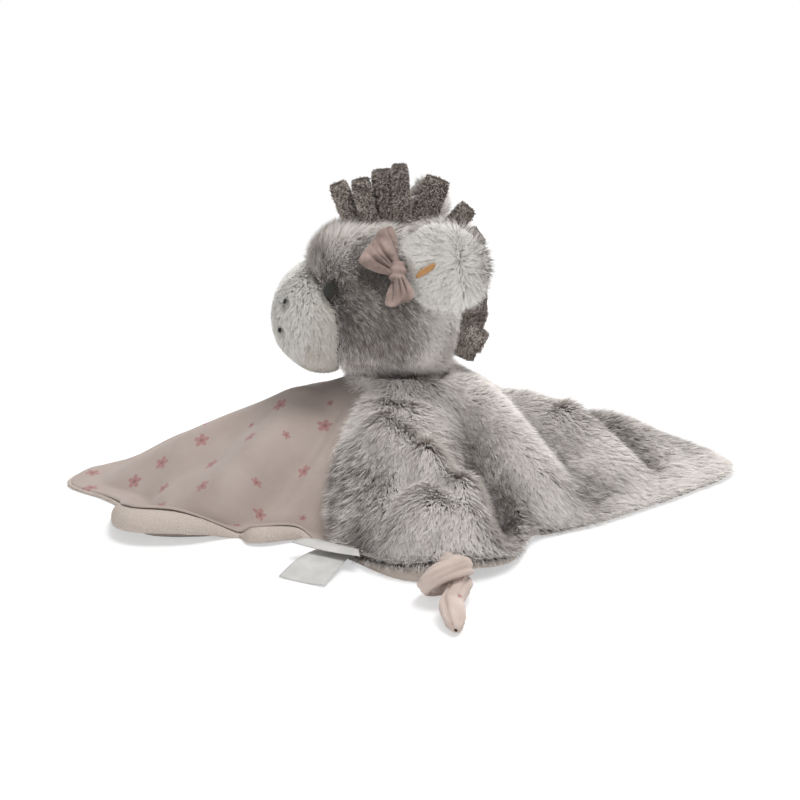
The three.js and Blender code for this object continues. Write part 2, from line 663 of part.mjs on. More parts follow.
// Mane strips: angle round the head from +X, lean, length share of the first, width
const maneShares = [
  [112, -1, 1.08, 0.92], [99, 4, 1.18, 0.92], [85, 13, 1.34, 1.1], [75, 19, 1.5, 0.8],
  [63, 7, 1.22, 1.4], [47, 3, 0.96, 0.95], [34, 0, 0.78, 1], [22, -2, 0.72, 1.05],
  [10, -2, 0.7, 1], [-2, 2, 0.7, 1.15], [-13, -8, 0.7, 1.2], [-24, -3, 0.75, 1.25], [-34, 8, 0.64, 1.05],
];

// Stations of a strip: share of the length, then width and thickness shares
const stripShares = [[0, 1, 1], [0.5, 1, 1.05], [0.93, 0.98, 1], [1, 0.86, 0.6]];

// Where the head's side view has its outline, in a direction from its centre
function headOutline(direction) {
  const reach = 1 / fullness(direction.x, 0, direction.z, headRadii, HEAD_FULLNESS);
  return direction.clone().multiplyScalar(reach).add(headCentre);
}

function addMane() {
  maneShares.forEach(([angle, lean, lengthShare, widthShare], k) => {
    const direction = new THREE.Vector3(Math.cos(radians(angle)), 0, Math.sin(radians(angle)));
    const level = new THREE.Vector3(0, 1, 0);
    const out = direction.clone().applyAxisAngle(level, -radians(lean));
    const across = new THREE.Vector3().crossVectors(level, out);
    const length = lengthShare * MANE_LENGTH;
    const start = headOutline(direction).addScaledVector(out, -MANE_THICKNESS);
    start.y += (k % 2 === 0 ? 1 : -1) * MANE_STAGGER;
    const strip = loft(stripShares.map(([share, wide, thick]) => ({
      centre: start.clone().addScaledVector(out, share * (length + MANE_THICKNESS)),
      across: across.clone().multiplyScalar(wide * widthShare * MANE_WIDTH / 2),
      through: level.clone().multiplyScalar(thick * MANE_THICKNESS / 2),
    })), STRIP_SIDES, 4);
    const number = String(k + 1).padStart(2, '0');
    addPiece(`mane_strip_${number}`, clearOfHead(strip, CLEARANCE), COLOURS.terry);
  });
}

// Section 4: the knotted tails and the labels at the hem

// Tail stations: share of the length, side drift, height and half width and half height in knot radii
const tailShares = [
  [0, 0, 0.62, 0.45, 0.42], [0.05, 0, 0.68, 0.68, 0.62], [0.15, -0.04, 0.74, 0.74, 0.7],
  [0.24, -0.15, 0.76, 0.86, 0.8], [0.33, -0.25, 0.78, 1, 0.86], [0.45, -0.2, 0.76, 0.98, 0.84],
  [0.56, -0.05, 0.66, 0.72, 0.66], [0.63, 0.02, 0.52, 0.48, 0.48], [0.72, 0.06, 0.5, 0.55, 0.5],
  [0.84, 0.1, 0.46, 0.56, 0.48], [0.94, 0.12, 0.36, 0.4, 0.36], [1, 0.12, 0.28, 0.16, 0.16],
];

// The wrapping turn: side drift, share of the length, height and radius in knot radii
const wrapShares = [-0.2, 0.36, 0.88, 0.8];

function addTail(name, side, cornerShares) {
  const corner = new THREE.Vector3(...cornerShares, 0).multiplyScalar(BLANKET_REACH);
  const level = new THREE.Vector3(1, 0, 0);
  const up = new THREE.Vector3(0, 0, 1);
  const body = loft(tailShares.map(([share, drift, height, wide, tall]) => ({
    centre: new THREE.Vector3(drift * TAIL_KNOT_RADIUS, side * share * TAIL_LENGTH,
      height * TAIL_KNOT_RADIUS).add(corner),
    across: level.clone().multiplyScalar(wide * TAIL_KNOT_RADIUS),
    through: up.clone().multiplyScalar(tall * TAIL_KNOT_RADIUS),
  })), SEWN_SIDES);
  // The turn of the knot that wraps round the tail
  const [wrapDrift, wrapAlong, wrapHeight, wrapRadius] = wrapShares;
  const wrap = new THREE.TorusGeometry(wrapRadius * TAIL_KNOT_RADIUS,
    TAIL_WRAP_SHARE * TAIL_KNOT_RADIUS, WRAP_SIDES, WRAP_STEPS);
  wrap.rotateX(radians(90));
  wrap.rotateZ(radians(side * TAIL_WRAP_TURN));
  wrap.translate(corner.x + wrapDrift * TAIL_KNOT_RADIUS,
    corner.y + side * wrapAlong * TAIL_LENGTH, wrapHeight * TAIL_KNOT_RADIUS);
  const under = new THREE.BoxGeometry(2 * TAIL_LENGTH, 2 * TAIL_LENGTH, TAIL_KNOT_RADIUS);
  under.translate(corner.x, corner.y + side * TAIL_LENGTH / 2, -TAIL_KNOT_RADIUS / 2);
  const tail = solidOf(body).add(solidOf(wrap)).subtract(solidOf(under));
  addPiece(`tail_${name}`, geometryOf(tail), COLOURS.knot);
}

// A label leaf: a thin strip from its sewn edge along the hem, bending down to its free end
function labelLeaf(seam, way, reach, rootWidth, endWidth, sag, rise) {
  const level = new THREE.Vector3(-way.y, way.x, 0);
  const shares = [0, 0.2, 0.4, 0.6, 0.8, 1];
  const stations = shares.map((share) => ({
    centre: seam.place.clone().addScaledVector(way, share * reach)
      .add(new THREE.Vector3(0, 0, rise * Math.sin(Math.PI * share) - sag * share)),
    across: seam.along.clone().lerp(level, Math.min(1, 2 * share)).normalize()
      .multiplyScalar((rootWidth + share * (endWidth - rootWidth)) / 2),
    through: new THREE.Vector3(0, 0, LABEL_THICKNESS / 2),
  }));
  return loft(stations, STRIP_SIDES, 6);
}

// The hem's place at an angle, just outside the cloth, with the way the hem runs there
function hemSeam(angle, outside, height) {
  const edge = (turned) => {
    const reach = spokeValue(turned, 1) * BLANKET_REACH;
    return new THREE.Vector3(reach * Math.cos(radians(turned)), reach * Math.sin(radians(turned)), 0);
  };
  const along = edge(angle + LABEL_SEAM_SPAN / 2).sub(edge(angle - LABEL_SEAM_SPAN / 2)).normalize();
  const out = new THREE.Vector3(along.y, -along.x, 0);
  const place = edge(angle).addScaledVector(out, outside);
  place.z = height;
  return { place, along };
}

function addLabels() {
  const way = new THREE.Vector3(Math.cos(radians(LABEL_ANGLE)), Math.sin(radians(LABEL_ANGLE)), 0);
  const seam = hemSeam(LABEL_SEAM_ANGLE, LABEL_HEM_GAP, LABEL_ROOT_HEIGHT);
  const drop = LABEL_ROOT_HEIGHT - LABEL_THICKNESS / 2;
  const leaf = labelLeaf(seam, way, LABEL_LENGTH, LABEL_ROOT_WIDTH, LABEL_WIDTH, drop, LABEL_RISE);
  addPiece('label_leaf', leaf, COLOURS.satin, 0.5);
  seam.place.z += LABEL_THICKNESS + CLEARANCE;
  const tab = labelLeaf(seam, way, TAB_DEPTH, LABEL_ROOT_WIDTH, TAB_LENGTH, -TAB_RISE, LABEL_RISE);
  addPiece('label_tab', tab, COLOURS.satin, 0.5);
}

addBlanket();
addHead();
addNeck();
addFace();
addEars();
addEarThread();
addBow();
addMane();
addTail('near', -1, TAIL_NEAR_CORNER_SHARES);
addTail('far', 1, TAIL_FAR_CORNER_SHARES);
addLabels();

// The origin goes under the middle of the whole toy
const extent = new THREE.Box3().setFromObject(toy);
toy.position.set(-(extent.min.x + extent.max.x) / 2, -(extent.min.y + extent.max.y) / 2, -extent.min.z);
toy.updateMatrixWorld(true);

export default toy;
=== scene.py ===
# %% [markdown]
# # A comfort blanket with a plush donkey's head
# The real toy is a square cloth of printed cotton and long plush over a velour lining, with a stuffed
# donkey's head sewn on its middle. Nearly everything on it is cloth with a pile. This lesson dresses the
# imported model, which gives the frame: sizes, places and moving bodies. The script works in millimetres
# from the neck's axis, and turns its points to metres when it makes a mesh.

# %% Load the frame
import itertools
import math

import bpy
import numpy as np
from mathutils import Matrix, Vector


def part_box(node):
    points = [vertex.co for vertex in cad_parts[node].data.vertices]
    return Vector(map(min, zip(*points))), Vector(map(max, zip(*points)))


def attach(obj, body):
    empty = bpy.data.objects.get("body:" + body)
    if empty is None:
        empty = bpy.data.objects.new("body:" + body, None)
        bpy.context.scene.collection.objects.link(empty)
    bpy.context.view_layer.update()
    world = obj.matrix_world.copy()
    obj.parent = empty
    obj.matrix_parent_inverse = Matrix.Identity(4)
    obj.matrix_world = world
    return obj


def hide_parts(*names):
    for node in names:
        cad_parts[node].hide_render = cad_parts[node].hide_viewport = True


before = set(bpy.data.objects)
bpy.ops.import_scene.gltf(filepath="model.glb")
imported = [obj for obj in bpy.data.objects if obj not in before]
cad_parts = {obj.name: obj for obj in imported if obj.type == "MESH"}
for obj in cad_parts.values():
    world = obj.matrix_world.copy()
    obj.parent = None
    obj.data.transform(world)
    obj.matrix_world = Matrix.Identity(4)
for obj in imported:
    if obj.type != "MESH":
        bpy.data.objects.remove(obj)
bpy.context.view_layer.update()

MM = 0.001
neck_low, neck_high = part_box("neck_core")
NECK_AXIS = np.array([(neck_low.x + neck_high.x) / 2, (neck_low.y + neck_high.y) / 2, 0])
print("the neck's axis stands at", NECK_AXIS)

# %% [markdown]
# ## Camera, light and floor
# The photograph was taken from a metre away with a long lens, a little above the toy. The camera keeps
# that place, so that each piece can be compared with the picture. Soft light comes from large lamps and a
# pale sky, as in a studio. The backdrop is white because the floor is, and the floor keeps the toy's shadow.

# %% Camera
CAMERA_DISTANCE = 1.1
CAMERA_ELEVATION = math.radians(18.5)
CAMERA_TARGET = Vector((NECK_AXIS[0], NECK_AXIS[1], 0.045))
CAMERA_LENS = 99


def add_object(name, data):
    """A new object in the scene, at the origin."""
    thing = bpy.data.objects.new(name, data)
    bpy.context.scene.collection.objects.link(thing)
    return thing


def aim(thing, place, target):
    """Stands a camera or a lamp at a place, turned to a target."""
    thing.location = place
    thing.rotation_euler = (Vector(target) - Vector(place)).to_track_quat("-Z", "Y").to_euler()


camera_data = bpy.data.cameras.new("photo_camera")
camera_data.lens = CAMERA_LENS
camera_data.sensor_width = 36
camera_data.clip_end = 20
camera = add_object("photo_camera", camera_data)
away = Vector((0, -math.cos(CAMERA_ELEVATION), math.sin(CAMERA_ELEVATION)))
aim(camera, CAMERA_TARGET + away * CAMERA_DISTANCE, CAMERA_TARGET)
bpy.context.scene.camera = camera
bpy.context.scene.view_settings.view_transform = "Standard"
print("camera at", tuple(round(x, 3) for x in camera.location))

# %% Material helpers
def linear(hex_colour):
    """A colour written as sRGB hex, as the linear values that shaders read."""
    values = [int(hex_colour[i:i + 2], 16) / 255 for i in (1, 3, 5)]
    return [v / 12.92 if v <= 0.04045 else ((v + 0.055) / 1.055) ** 2.4 for v in values] + [1]


def add_node(tree, kind, settings=None, links=None, stops=()):
    """Adds a node, sets its properties or inputs by name, links its inputs from other sockets, and gives
    a colour ramp its stops, each a place and a hex colour."""
    node = tree.nodes.new(kind)
    for key, value in (settings or {}).items():
        if isinstance(key, int) or key in node.inputs:
            node.inputs[key].default_value = value
        else:
            setattr(node, key, value)
    for key, socket in (links or {}).items():
        tree.links.new(socket, node.inputs[key])
    if stops:
        points = node.color_ramp.elements
        while len(points) < len(stops):
            points.new(0.5)
        for point, (place, colour) in zip(points, stops):
            point.position = place
            point.color = linear(colour)
    return node


def new_material(name, roughness, **shader):
    """A material with its shader, which the steps below link patterns to."""
    material = bpy.data.materials.new(name)
    material.use_nodes = True
    surface = material.node_tree.nodes["Principled BSDF"]
    surface.inputs["Roughness"].default_value = roughness
    surface.inputs["Specular IOR Level"].default_value = 0.25
    for key, value in shader.items():
        surface.inputs[key.replace("_", " ")].default_value = value
    return material, material.node_tree, surface


def seen_itself(tree, *names):
    """1 for the rays that see the backdrop itself, given by name, and 0 for those that fetch its light."""
    rays = add_node(tree, "ShaderNodeLightPath").outputs
    seen = rays[names[0]]
    for name in names[1:]:
        seen = add_node(tree, "ShaderNodeMath", {"operation": "MAXIMUM"}, {0: seen, 1: rays[name]}).outputs[0]
    return seen


# %% Floor, sky and lamps
FLOOR_HALF = 3
SHADOW_REACH, BACKDROP_REACH = 0.25, 0.9
SKY_STRENGTH = 0.42
WHITE = linear("#ffffff")
floor_mesh = bpy.data.meshes.new("floor")
floor_corners = [(x * FLOOR_HALF, y * FLOOR_HALF, 0) for x, y in ((-1, -1), (1, -1), (1, 1), (-1, 1))]
floor_mesh.from_pydata(floor_corners, [], [(0, 1, 2, 3)])
floor = add_object("floor", floor_mesh)
floor_white, tree, surface = new_material("floor_white_paper", 0.9)
surface.inputs["Base Color"].default_value = linear("#fbfbfb")
surface.inputs["Specular IOR Level"].default_value = 0
glow = add_node(tree, "ShaderNodeEmission", {"Color": WHITE, "Strength": 1.0})
place = add_node(tree, "ShaderNodeTexCoord")
distance = add_node(tree, "ShaderNodeVectorMath", {"operation": "LENGTH"}, {0: place.outputs["Object"]})
share = add_node(tree, "ShaderNodeMapRange", {
    "From Min": SHADOW_REACH, "From Max": BACKDROP_REACH, "To Min": 0.5, "To Max": 1.0},
    {"Value": distance.outputs["Value"]})
amount = add_node(tree, "ShaderNodeMath", {"operation": "MULTIPLY"},
                  {0: share.outputs[0], 1: seen_itself(tree, "Is Camera Ray", "Is Glossy Ray")})
mixed = add_node(tree, "ShaderNodeMixShader", links={
    0: amount.outputs[0], 1: surface.outputs[0], 2: glow.outputs[0]})
tree.links.new(mixed.outputs[0], tree.nodes["Material Output"].inputs["Surface"])
floor_mesh.materials.append(floor_white)

world = bpy.data.worlds.new("studio")
bpy.context.scene.world = world
world.use_nodes = True
tree = world.node_tree
tree.nodes.clear()
sky, shown = [add_node(tree, "ShaderNodeBackground", {"Color": WHITE, "Strength": strength})
              for strength in (SKY_STRENGTH, 1.0)]
seen = seen_itself(tree, "Is Camera Ray", "Is Glossy Ray", "Is Transmission Ray")
mixed = add_node(tree, "ShaderNodeMixShader", links={0: seen, 1: sky.outputs[0], 2: shown.outputs[0]})
add_node(tree, "ShaderNodeOutputWorld", links={"Surface": mixed.outputs[0]})

# Lamps: name, place and size in metres, power in watts
LAMPS = [("key_lamp", (0.35, -0.25, 1.6), 0.7, 20), ("front_lamp", (-0.8, -1.6, 0.6), 1.0, 6),
         ("back_lamp", (0.7, 1.1, 1.2), 1.0, 10)]
for name, place, size, power in LAMPS:
    lamp = bpy.data.lights.new(name, "AREA")
    lamp.size = size
    lamp.energy = power
    aim(add_object(name, lamp), place, (0, 0, 0.06))
print("lamps:", [name for name, *rest in LAMPS])

# %% [markdown]
# ## The cloth's finishes
# Every colour is written as the eye sees it, in hex. Patterns are scaled in millimetres of real cloth.

# %% Finishes of piles and their grounds
def in_cells(tree, size_mm, own_map=None):
    """Coordinates counted in cells of the given size, of the object or of the piece's own map."""
    if own_map:
        places = add_node(tree, "ShaderNodeUVMap", {"uv_map": own_map}).outputs["UV"]
    else:
        places = add_node(tree, "ShaderNodeTexCoord").outputs["Object"]
    return add_node(tree, "ShaderNodeMapping", {"Scale": [1 / (size_mm * MM)] * 3},
                    {"Vector": places}).outputs["Vector"]


def coat(tree, surface, colour, height=None, depth_mm=0.5, strength=1.0):
    """Links a colour to the shader, and bump from a height value, as deep as the given distance."""
    tree.links.new(colour, surface.inputs["Base Color"])
    if height:
        bump = add_node(tree, "ShaderNodeBump", {"Distance": depth_mm * MM, "Strength": strength},
                        {"Height": height})
        tree.links.new(bump.outputs["Normal"], surface.inputs["Normal"])


def pile_finish(name, dark, light, middle=0.5):
    """A pile coloured by the blade's own map: across for its tone, painted light and shade included, upwards
    from root to tip.
    """
    material, tree, surface = new_material(name, 0.85, Sheen_Weight=0.1, Sheen_Roughness=0.5)
    own = add_node(tree, "ShaderNodeUVMap", {"uv_map": "OFBake"})
    split = add_node(tree, "ShaderNodeSeparateXYZ", links={"Vector": own.outputs["UV"]}).outputs
    darker, lighter = [
        add_node(tree, "ShaderNodeValToRGB", links={"Fac": split["Y"]},
                 stops=list(zip((0, middle, 1), colours))).outputs["Color"] for colours in (dark, light)]
    both = add_node(tree, "ShaderNodeMix", {"data_type": "RGBA"}, {0: split["X"], 6: darker, 7: lighter})
    coat(tree, surface, both.outputs[2])
    return material


def ground_finish(name, dark, light, cell_mm=1.2):
    """The knitted ground that a pile grows from: mottled, with a fine bump."""
    material, tree, surface = new_material(name, 0.95)
    cells = add_node(tree, "ShaderNodeTexNoise", {"Scale": 1.0, "Detail": 3.0},
                     {"Vector": in_cells(tree, cell_mm)}).outputs["Fac"]
    mottled = add_node(tree, "ShaderNodeValToRGB", links={"Fac": cells}, stops=[(0.3, dark), (0.7, light)])
    coat(tree, surface, mottled.outputs["Color"], cells)
    return material


# Polyester plush: silver tips over darker roots, which show where the pile parts.
GREY_PILE = pile_finish(
    "polyester_plush_grey_pile", ("#322c29", "#5f5753", "#8d8580"), ("#8f8681", "#ddd6d1", "#fffbf7"))
# The white plush is the same knit, undyed.
WHITE_PILE = pile_finish(
    "polyester_plush_white_pile", ("#9d968b", "#c6c0b5", "#dcd7ce"), ("#c6c1b9", "#f3f0eb", "#ffffff"))
# Terry: the strips' loops are one taupe yarn, painted darker towards their roots as shade in the gaps.
TERRY_PILE = pile_finish(
    "cotton_terry_taupe_loops", ("#352e2a", "#5f5650", "#857a72"), ("#857a72", "#c6bab1", "#f0e5dc"), 0.6)
GREY_GROUND = ground_finish("polyester_plush_grey_ground", "#4a4643", "#6b6662")
WHITE_GROUND = ground_finish("polyester_plush_white_ground", "#b0aba2", "#c8c4bc")
TERRY_GROUND = ground_finish("cotton_terry_taupe_ground", "#453e39", "#6b625b", 0.8)
# Velour: cut cotton loops so short that they show as a soft grain.
VELOUR = ground_finish("cotton_velour_cream", "#b3a69d", "#c3b8af", 0.7)
# Loose crimped polyester, hidden once the cover is on.
FIBRE = ground_finish("polyester_fibre_fill", "#e9e7e2", "#f7f6f3", 3)

# %% [markdown]
# ## The woven cottons
# The print is a thin plain weave, pale pink, scattered with little coral flowers of five petals. A flower is
# drawn in the cell that a Voronoi texture gives it: the distance from the cell's middle and the angle there
# make petals, and the cell's own random colour sets its turn, its size and whether there is a flower at all.

# %% Finishes of woven cloth
FLOWER_CELL_MM = 21.5
FLOWER_RADIUS_MM = 4.1
PETALS = 5
THREAD_MM = 0.5
BLOTCH_MM = 50 / 3
DYE_AND_SHADE_PATCH_MM = 9

# The arithmetic of a flower and of the weave: each step's result, its operation, and then numbers or
# earlier results by name
PRINT_STEPS = [
    ("way", "ARCTAN2", "y", "x"), ("turned", "MULTIPLY", "turn", 2 * math.pi),
    ("angle", "ADD", "way", "turned"), ("half_turns", "MULTIPLY", "angle", PETALS / 2),
    ("wave", "COSINE", "half_turns"), ("petals", "ABSOLUTE", "wave"),
    ("radius", "MULTIPLY", "distance", FLOWER_CELL_MM), ("big", "GREATER_THAN", "growth", 0.55),
    ("size", "MULTIPLY_ADD", "big", FLOWER_RADIUS_MM / 2, FLOWER_RADIUS_MM / 2),
    ("lobe", "MULTIPLY_ADD", "petals", 0.5, 0.5), ("edge", "MULTIPLY", "size", "lobe"),
    ("inside", "SUBTRACT", "edge", "radius"), ("sharp", "MULTIPLY", "inside", 4),
    ("not_below_0", "MAXIMUM", "sharp", 0), ("shape", "MINIMUM", "not_below_0", 1),
    ("there", "LESS_THAN", "luck", 0.82), ("petal", "MULTIPLY", "shape", "there"),
    ("eye_size", "MULTIPLY", "size", 0.25), ("in_eye", "LESS_THAN", "radius", "eye_size"),
    ("eye", "MULTIPLY", "in_eye", "petal"), ("turn_across", "MULTIPLY", "across", math.pi),
    ("over", "SINE", "turn_across"), ("turn_along", "MULTIPLY", "along", math.pi),
    ("under", "SINE", "turn_along"), ("woven", "MULTIPLY", "over", "under"),
]


def print_finish(name, base, fold, flower, centre):
    """The print, laid on by the cloth's flat map."""
    material, tree, surface = new_material(name, 0.8, Sheen_Weight=0.15, Sheen_Roughness=0.6)
    cells = in_cells(tree, FLOWER_CELL_MM, "Cloth")
    voronoi = add_node(tree, "ShaderNodeTexVoronoi", {
        "voronoi_dimensions": "2D", "feature": "F1", "Scale": 1.0, "Randomness": 0.55},
        {"Vector": cells}).outputs
    offset = add_node(tree, "ShaderNodeVectorMath", {"operation": "SUBTRACT"},
                      {0: cells, 1: voronoi["Position"]}).outputs[0]
    made = {"distance": voronoi["Distance"]}
    parted = (("XYZ", offset, ("x", "y")),
              ("Color", voronoi["Color"], ("turn", "growth", "luck")),
              ("XYZ", in_cells(tree, THREAD_MM, "Cloth"), ("across", "along")))
    for kind, source, names in parted:
        made.update(zip(names, add_node(tree, f"ShaderNodeSeparate{kind}", links={0: source}).outputs))
    for result, operation, *values in PRINT_STEPS:
        numbers = {k: v for k, v in enumerate(values) if not isinstance(v, str)}
        links = {k: made[v] for k, v in enumerate(values) if isinstance(v, str)}
        step = add_node(tree, "ShaderNodeMath", {"operation": operation, **numbers}, links)
        made[result] = step.outputs[0]
    blotch = add_node(tree, "ShaderNodeTexNoise", {"Scale": 1.0, "Detail": 2.0},
                      {"Vector": in_cells(tree, BLOTCH_MM, "Cloth")})
    colour = add_node(tree, "ShaderNodeValToRGB", links={"Fac": blotch.outputs["Fac"]},
                      stops=[(0.3, fold), (0.7, base)]).outputs["Color"]
    for amount, tint in (("petal", flower), ("eye", centre)):
        colour = add_node(tree, "ShaderNodeMix", {"data_type": "RGBA", 7: linear(tint)},
                          {0: made[amount], 6: colour}).outputs[2]
    coat(tree, surface, colour, made["woven"], 0.05, 0.6)
    return material


def cotton_finish(name, base, fold, thread_mm=0.5, roughness=0.75):
    """Plain woven cloth, darker in random patches, with its weave in the bump. The patches are uneven dye on
    satin and thread, and painted shade on the bow.
    """
    material, tree, surface = new_material(name, roughness, Sheen_Weight=0.2, Sheen_Roughness=0.5)
    cells = add_node(tree, "ShaderNodeTexVoronoi", {"Scale": 1.0, "Randomness": 0.25},
                     {"Vector": in_cells(tree, thread_mm)})
    noise = add_node(tree, "ShaderNodeTexNoise", {"Scale": 1.0, "Detail": 3.0},
                     {"Vector": in_cells(tree, DYE_AND_SHADE_PATCH_MM)})
    dye_and_painted_shade = add_node(tree, "ShaderNodeValToRGB", links={"Fac": noise.outputs["Fac"]},
                   stops=[(0.35, fold), (0.65, base)])
    coat(tree, surface, dye_and_painted_shade.outputs["Color"], cells.outputs["Distance"], 0.08, 0.6)
    return material


PRINT = print_finish("printed_cotton_pale_pink", "#a89b94", "#a1938b", "#9c7673", "#86615f")
# The tails are cut from the same print, and look paler in the photograph.
KNOT_PRINT = print_finish("printed_cotton_knot", "#cbbbb2", "#ad9b91", "#a8807d", "#926b69")
# The bow's darker colour is painted shade, laid on in random patches.
BOW_COTTON = cotton_finish("woven_cotton_dusty_pink", "#9f8b83", "#73625b")
# Satin and rayon thread are filaments without fuzz, so they shine more than cotton.
SATIN = cotton_finish("polyester_satin_white", "#c9c7c4", "#bab8b5", 0.4, 0.35)
DARK_THREAD = cotton_finish("rayon_thread_charcoal", "#25261f", "#171914", 0.4, 0.35)
ORANGE_THREAD = cotton_finish("rayon_thread_orange", "#c2925f", "#a87a4a", 0.4, 0.4)
print("finishes:", len(bpy.data.materials))

# %% [markdown]
# ## Tools for meshes
# A sheet is a grid of points with a thickness, and a pad is a closed form. Points are worked out in
# millimetres with numpy, because a drape is a formula and not a thing that one pulls by hand.

# %% Numbers in space
def unit(vectors):
    return vectors / np.maximum(np.linalg.norm(vectors, axis=-1, keepdims=True), 1e-9)


def smoothstep(value, start, end):
    t = np.clip((value - start) / (end - start), 0, 1)
    return t * t * (3 - 2 * t)


def bell(value, width):
    """1 at zero, and falling smoothly to nothing past the width."""
    return np.exp(-(value / width) ** 2)


def compass(degrees):
    """The level way at an angle round the neck, from +X."""
    return np.array([math.cos(math.radians(degrees)), math.sin(math.radians(degrees)), 0])


def ripples(points, wavelength, seed, waves=7):
    """Smooth unevenness from -1 to 1 or so: a sum of waves in seeded directions."""
    chance = np.random.default_rng(seed)
    total = np.zeros(len(points))
    for _ in range(waves):
        direction = unit(chance.normal(size=3))
        length = wavelength * chance.uniform(0.7, 1.6)
        total += np.sin(points @ direction * (2 * math.pi / length) + chance.uniform(0, 2 * math.pi))
    return total / math.sqrt(waves)


def swirls(points, wavelength, *seeds):
    """Ripples as a direction: sideways, lengthwise and, with a third seed, upwards."""
    parts = [ripples(points, wavelength, seed) for seed in seeds]
    return np.stack(parts + [0 * parts[0]] * (3 - len(parts)), axis=1)


# %% Mesh helpers
def in_metres(points):
    return np.asarray(points, float) * MM + NECK_AXIS


def places(piece):
    values = np.zeros(len(piece.data.vertices) * 3)
    piece.data.vertices.foreach_get("co", values)
    return values.reshape(-1, 3)


def set_places(piece, points):
    piece.data.vertices.foreach_set("co", np.asarray(points, float).ravel())
    piece.data.update()


def bare_all():
    """Nothing selected, so that an operator acts only on its own piece."""
    for thing in bpy.context.selected_objects:
        thing.select_set(False)


def make_active(piece):
    bare_all()
    piece.select_set(True)
    bpy.context.view_layer.objects.active = piece


def turn_outwards():
    """In edit mode: every face of the active piece looks outwards. Leaves edit mode."""
    bpy.ops.mesh.select_all(action="SELECT")
    bpy.ops.mesh.normals_make_consistent(inside=False)
    bpy.ops.object.mode_set(mode="OBJECT")


def add_modifier(piece, kind, **settings):
    modifier = piece.modifiers.new(kind.lower(), kind)
    for key, value in settings.items():
        setattr(modifier, key, value)
    return modifier


def apply_modifiers(piece):
    make_active(piece)
    for modifier in list(piece.modifiers):
        bpy.ops.object.modifier_apply(modifier=modifier.name)
    return piece


def new_piece(name, points, faces, material, cloth_map=None):
    """A mesh piece from points in millimetres. cloth_map gives each point's place on the flat cloth."""
    mesh = bpy.data.meshes.new(name)
    mesh.from_pydata(in_metres(points).tolist(), [], faces)
    if cloth_map is not None:
        corners = np.zeros(len(mesh.loops), int)
        mesh.loops.foreach_get("vertex_index", corners)
        own_map = cloth_map.reshape(-1, 2)[corners] * MM
        mesh.uv_layers.new(name="Cloth").data.foreach_set("uv", own_map.ravel())
    mesh.materials.append(material)
    mesh.shade_smooth()
    return add_object(name, mesh)


def grid_faces(rows, columns, wrap_rows=False, wrap_columns=False):
    faces = []
    for i in range(rows if wrap_rows else rows - 1):
        for j in range(columns if wrap_columns else columns - 1):
            a, b, k = i * columns, ((i + 1) % rows) * columns, (j + 1) % columns
            faces.append((a + j, b + j, b + k, a + k))
    return faces


def new_sheet(name, grid, material, thickness, flat=None, wrap_rows=False, wrap_columns=False, edge=0.0):
    """A sheet through a grid of points, thickened evenly about it, with its cut edges rounded when an edge
    width is given.
    """
    faces = grid_faces(*grid.shape[:2], wrap_rows, wrap_columns)
    piece = new_piece(name, grid.reshape(-1, 3), faces, material, flat)
    add_modifier(piece, "SOLIDIFY", thickness=thickness * MM, offset=0, use_even_offset=False)
    if edge:
        add_modifier(piece, "BEVEL", width=edge * MM, segments=2, limit_method="ANGLE",
                     angle_limit=math.radians(50))
    return apply_modifiers(piece)


def closed_tube(name, grid, material, start, end):
    """A closed form through rings of points, with a point at each end."""
    rows, columns = grid.shape[:2]
    faces = grid_faces(rows, columns, wrap_columns=True)
    first, last, top = rows * columns, rows * columns + 1, (rows - 1) * columns
    for k in range(columns):
        following = (k + 1) % columns
        faces += [(first, k, following), (last, top + following, top + k)]
    piece = new_piece(name, np.concatenate([grid.reshape(-1, 3), [start], [end]]), faces, material)
    make_active(piece)
    bpy.ops.object.mode_set(mode="EDIT")
    turn_outwards()
    return piece


def settle(piece, body, slot, *replaced):
    """The piece rides its body and stands for its solids, which are hidden. The slot is not used."""
    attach(piece, body)
    if replaced:
        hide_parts(*replaced)
    return piece


# %% [markdown]
# ## Pile
# Plush is a knit with cut fibres that stand in locks. Each lock is a thin blade of three triangles here:
# a root, a bend and a point. Blades lean with the way the cloth was brushed, and their points draw
# together in clumps, which gives the parted look of real plush. Hair curves would be lost in the export,
# so the blades are real mesh.

# %% Where blades grow
def grid_skin(grid):
    """The triangles of a grid of points and the normals at their corners."""
    normals = unit(np.cross(np.gradient(grid, axis=0), np.gradient(grid, axis=1))).reshape(-1, 3)
    quads = np.array(grid_faces(*grid.shape[:2]))
    corners = np.concatenate([quads[:, [0, 1, 2]], quads[:, [0, 2, 3]]])
    return grid.reshape(-1, 3)[corners], normals[corners]


def mesh_skin(piece):
    """The same for a finished piece, in millimetres from the neck's axis."""
    mesh = piece.data
    mesh.calc_loop_triangles()
    normals = np.zeros(len(mesh.vertices) * 3)
    mesh.vertices.foreach_get("normal", normals)
    corners = np.zeros(len(mesh.loop_triangles) * 3, int)
    mesh.loop_triangles.foreach_get("vertices", corners)
    corners = corners.reshape(-1, 3)
    return ((places(piece) - NECK_AXIS) / MM)[corners], normals.reshape(-1, 3)[corners]


def scattered(skin, count, seed, weight=None):
    """Places spread evenly over a skin, thinner where weight is lower, with the normals there."""
    points, normals = skin
    chance = np.random.default_rng(seed)
    areas = np.linalg.norm(np.cross(points[:, 1] - points[:, 0], points[:, 2] - points[:, 0]), axis=1)
    if weight is not None:
        areas = areas * weight(points.mean(axis=1))
    total = np.cumsum(areas)
    draws = (np.arange(count) + chance.random(count)) / count * total[-1]
    picked = np.minimum(np.searchsorted(total, draws), len(total) - 1)
    u, v = chance.random(count), chance.random(count)
    flip = u + v > 1
    u, v = np.where(flip, 1 - u, u), np.where(flip, 1 - v, v)
    shares = np.stack([1 - u - v, u, v], axis=1)[:, :, None]
    return (points[picked] * shares).sum(1), unit((normals[picked] * shares).sum(1))


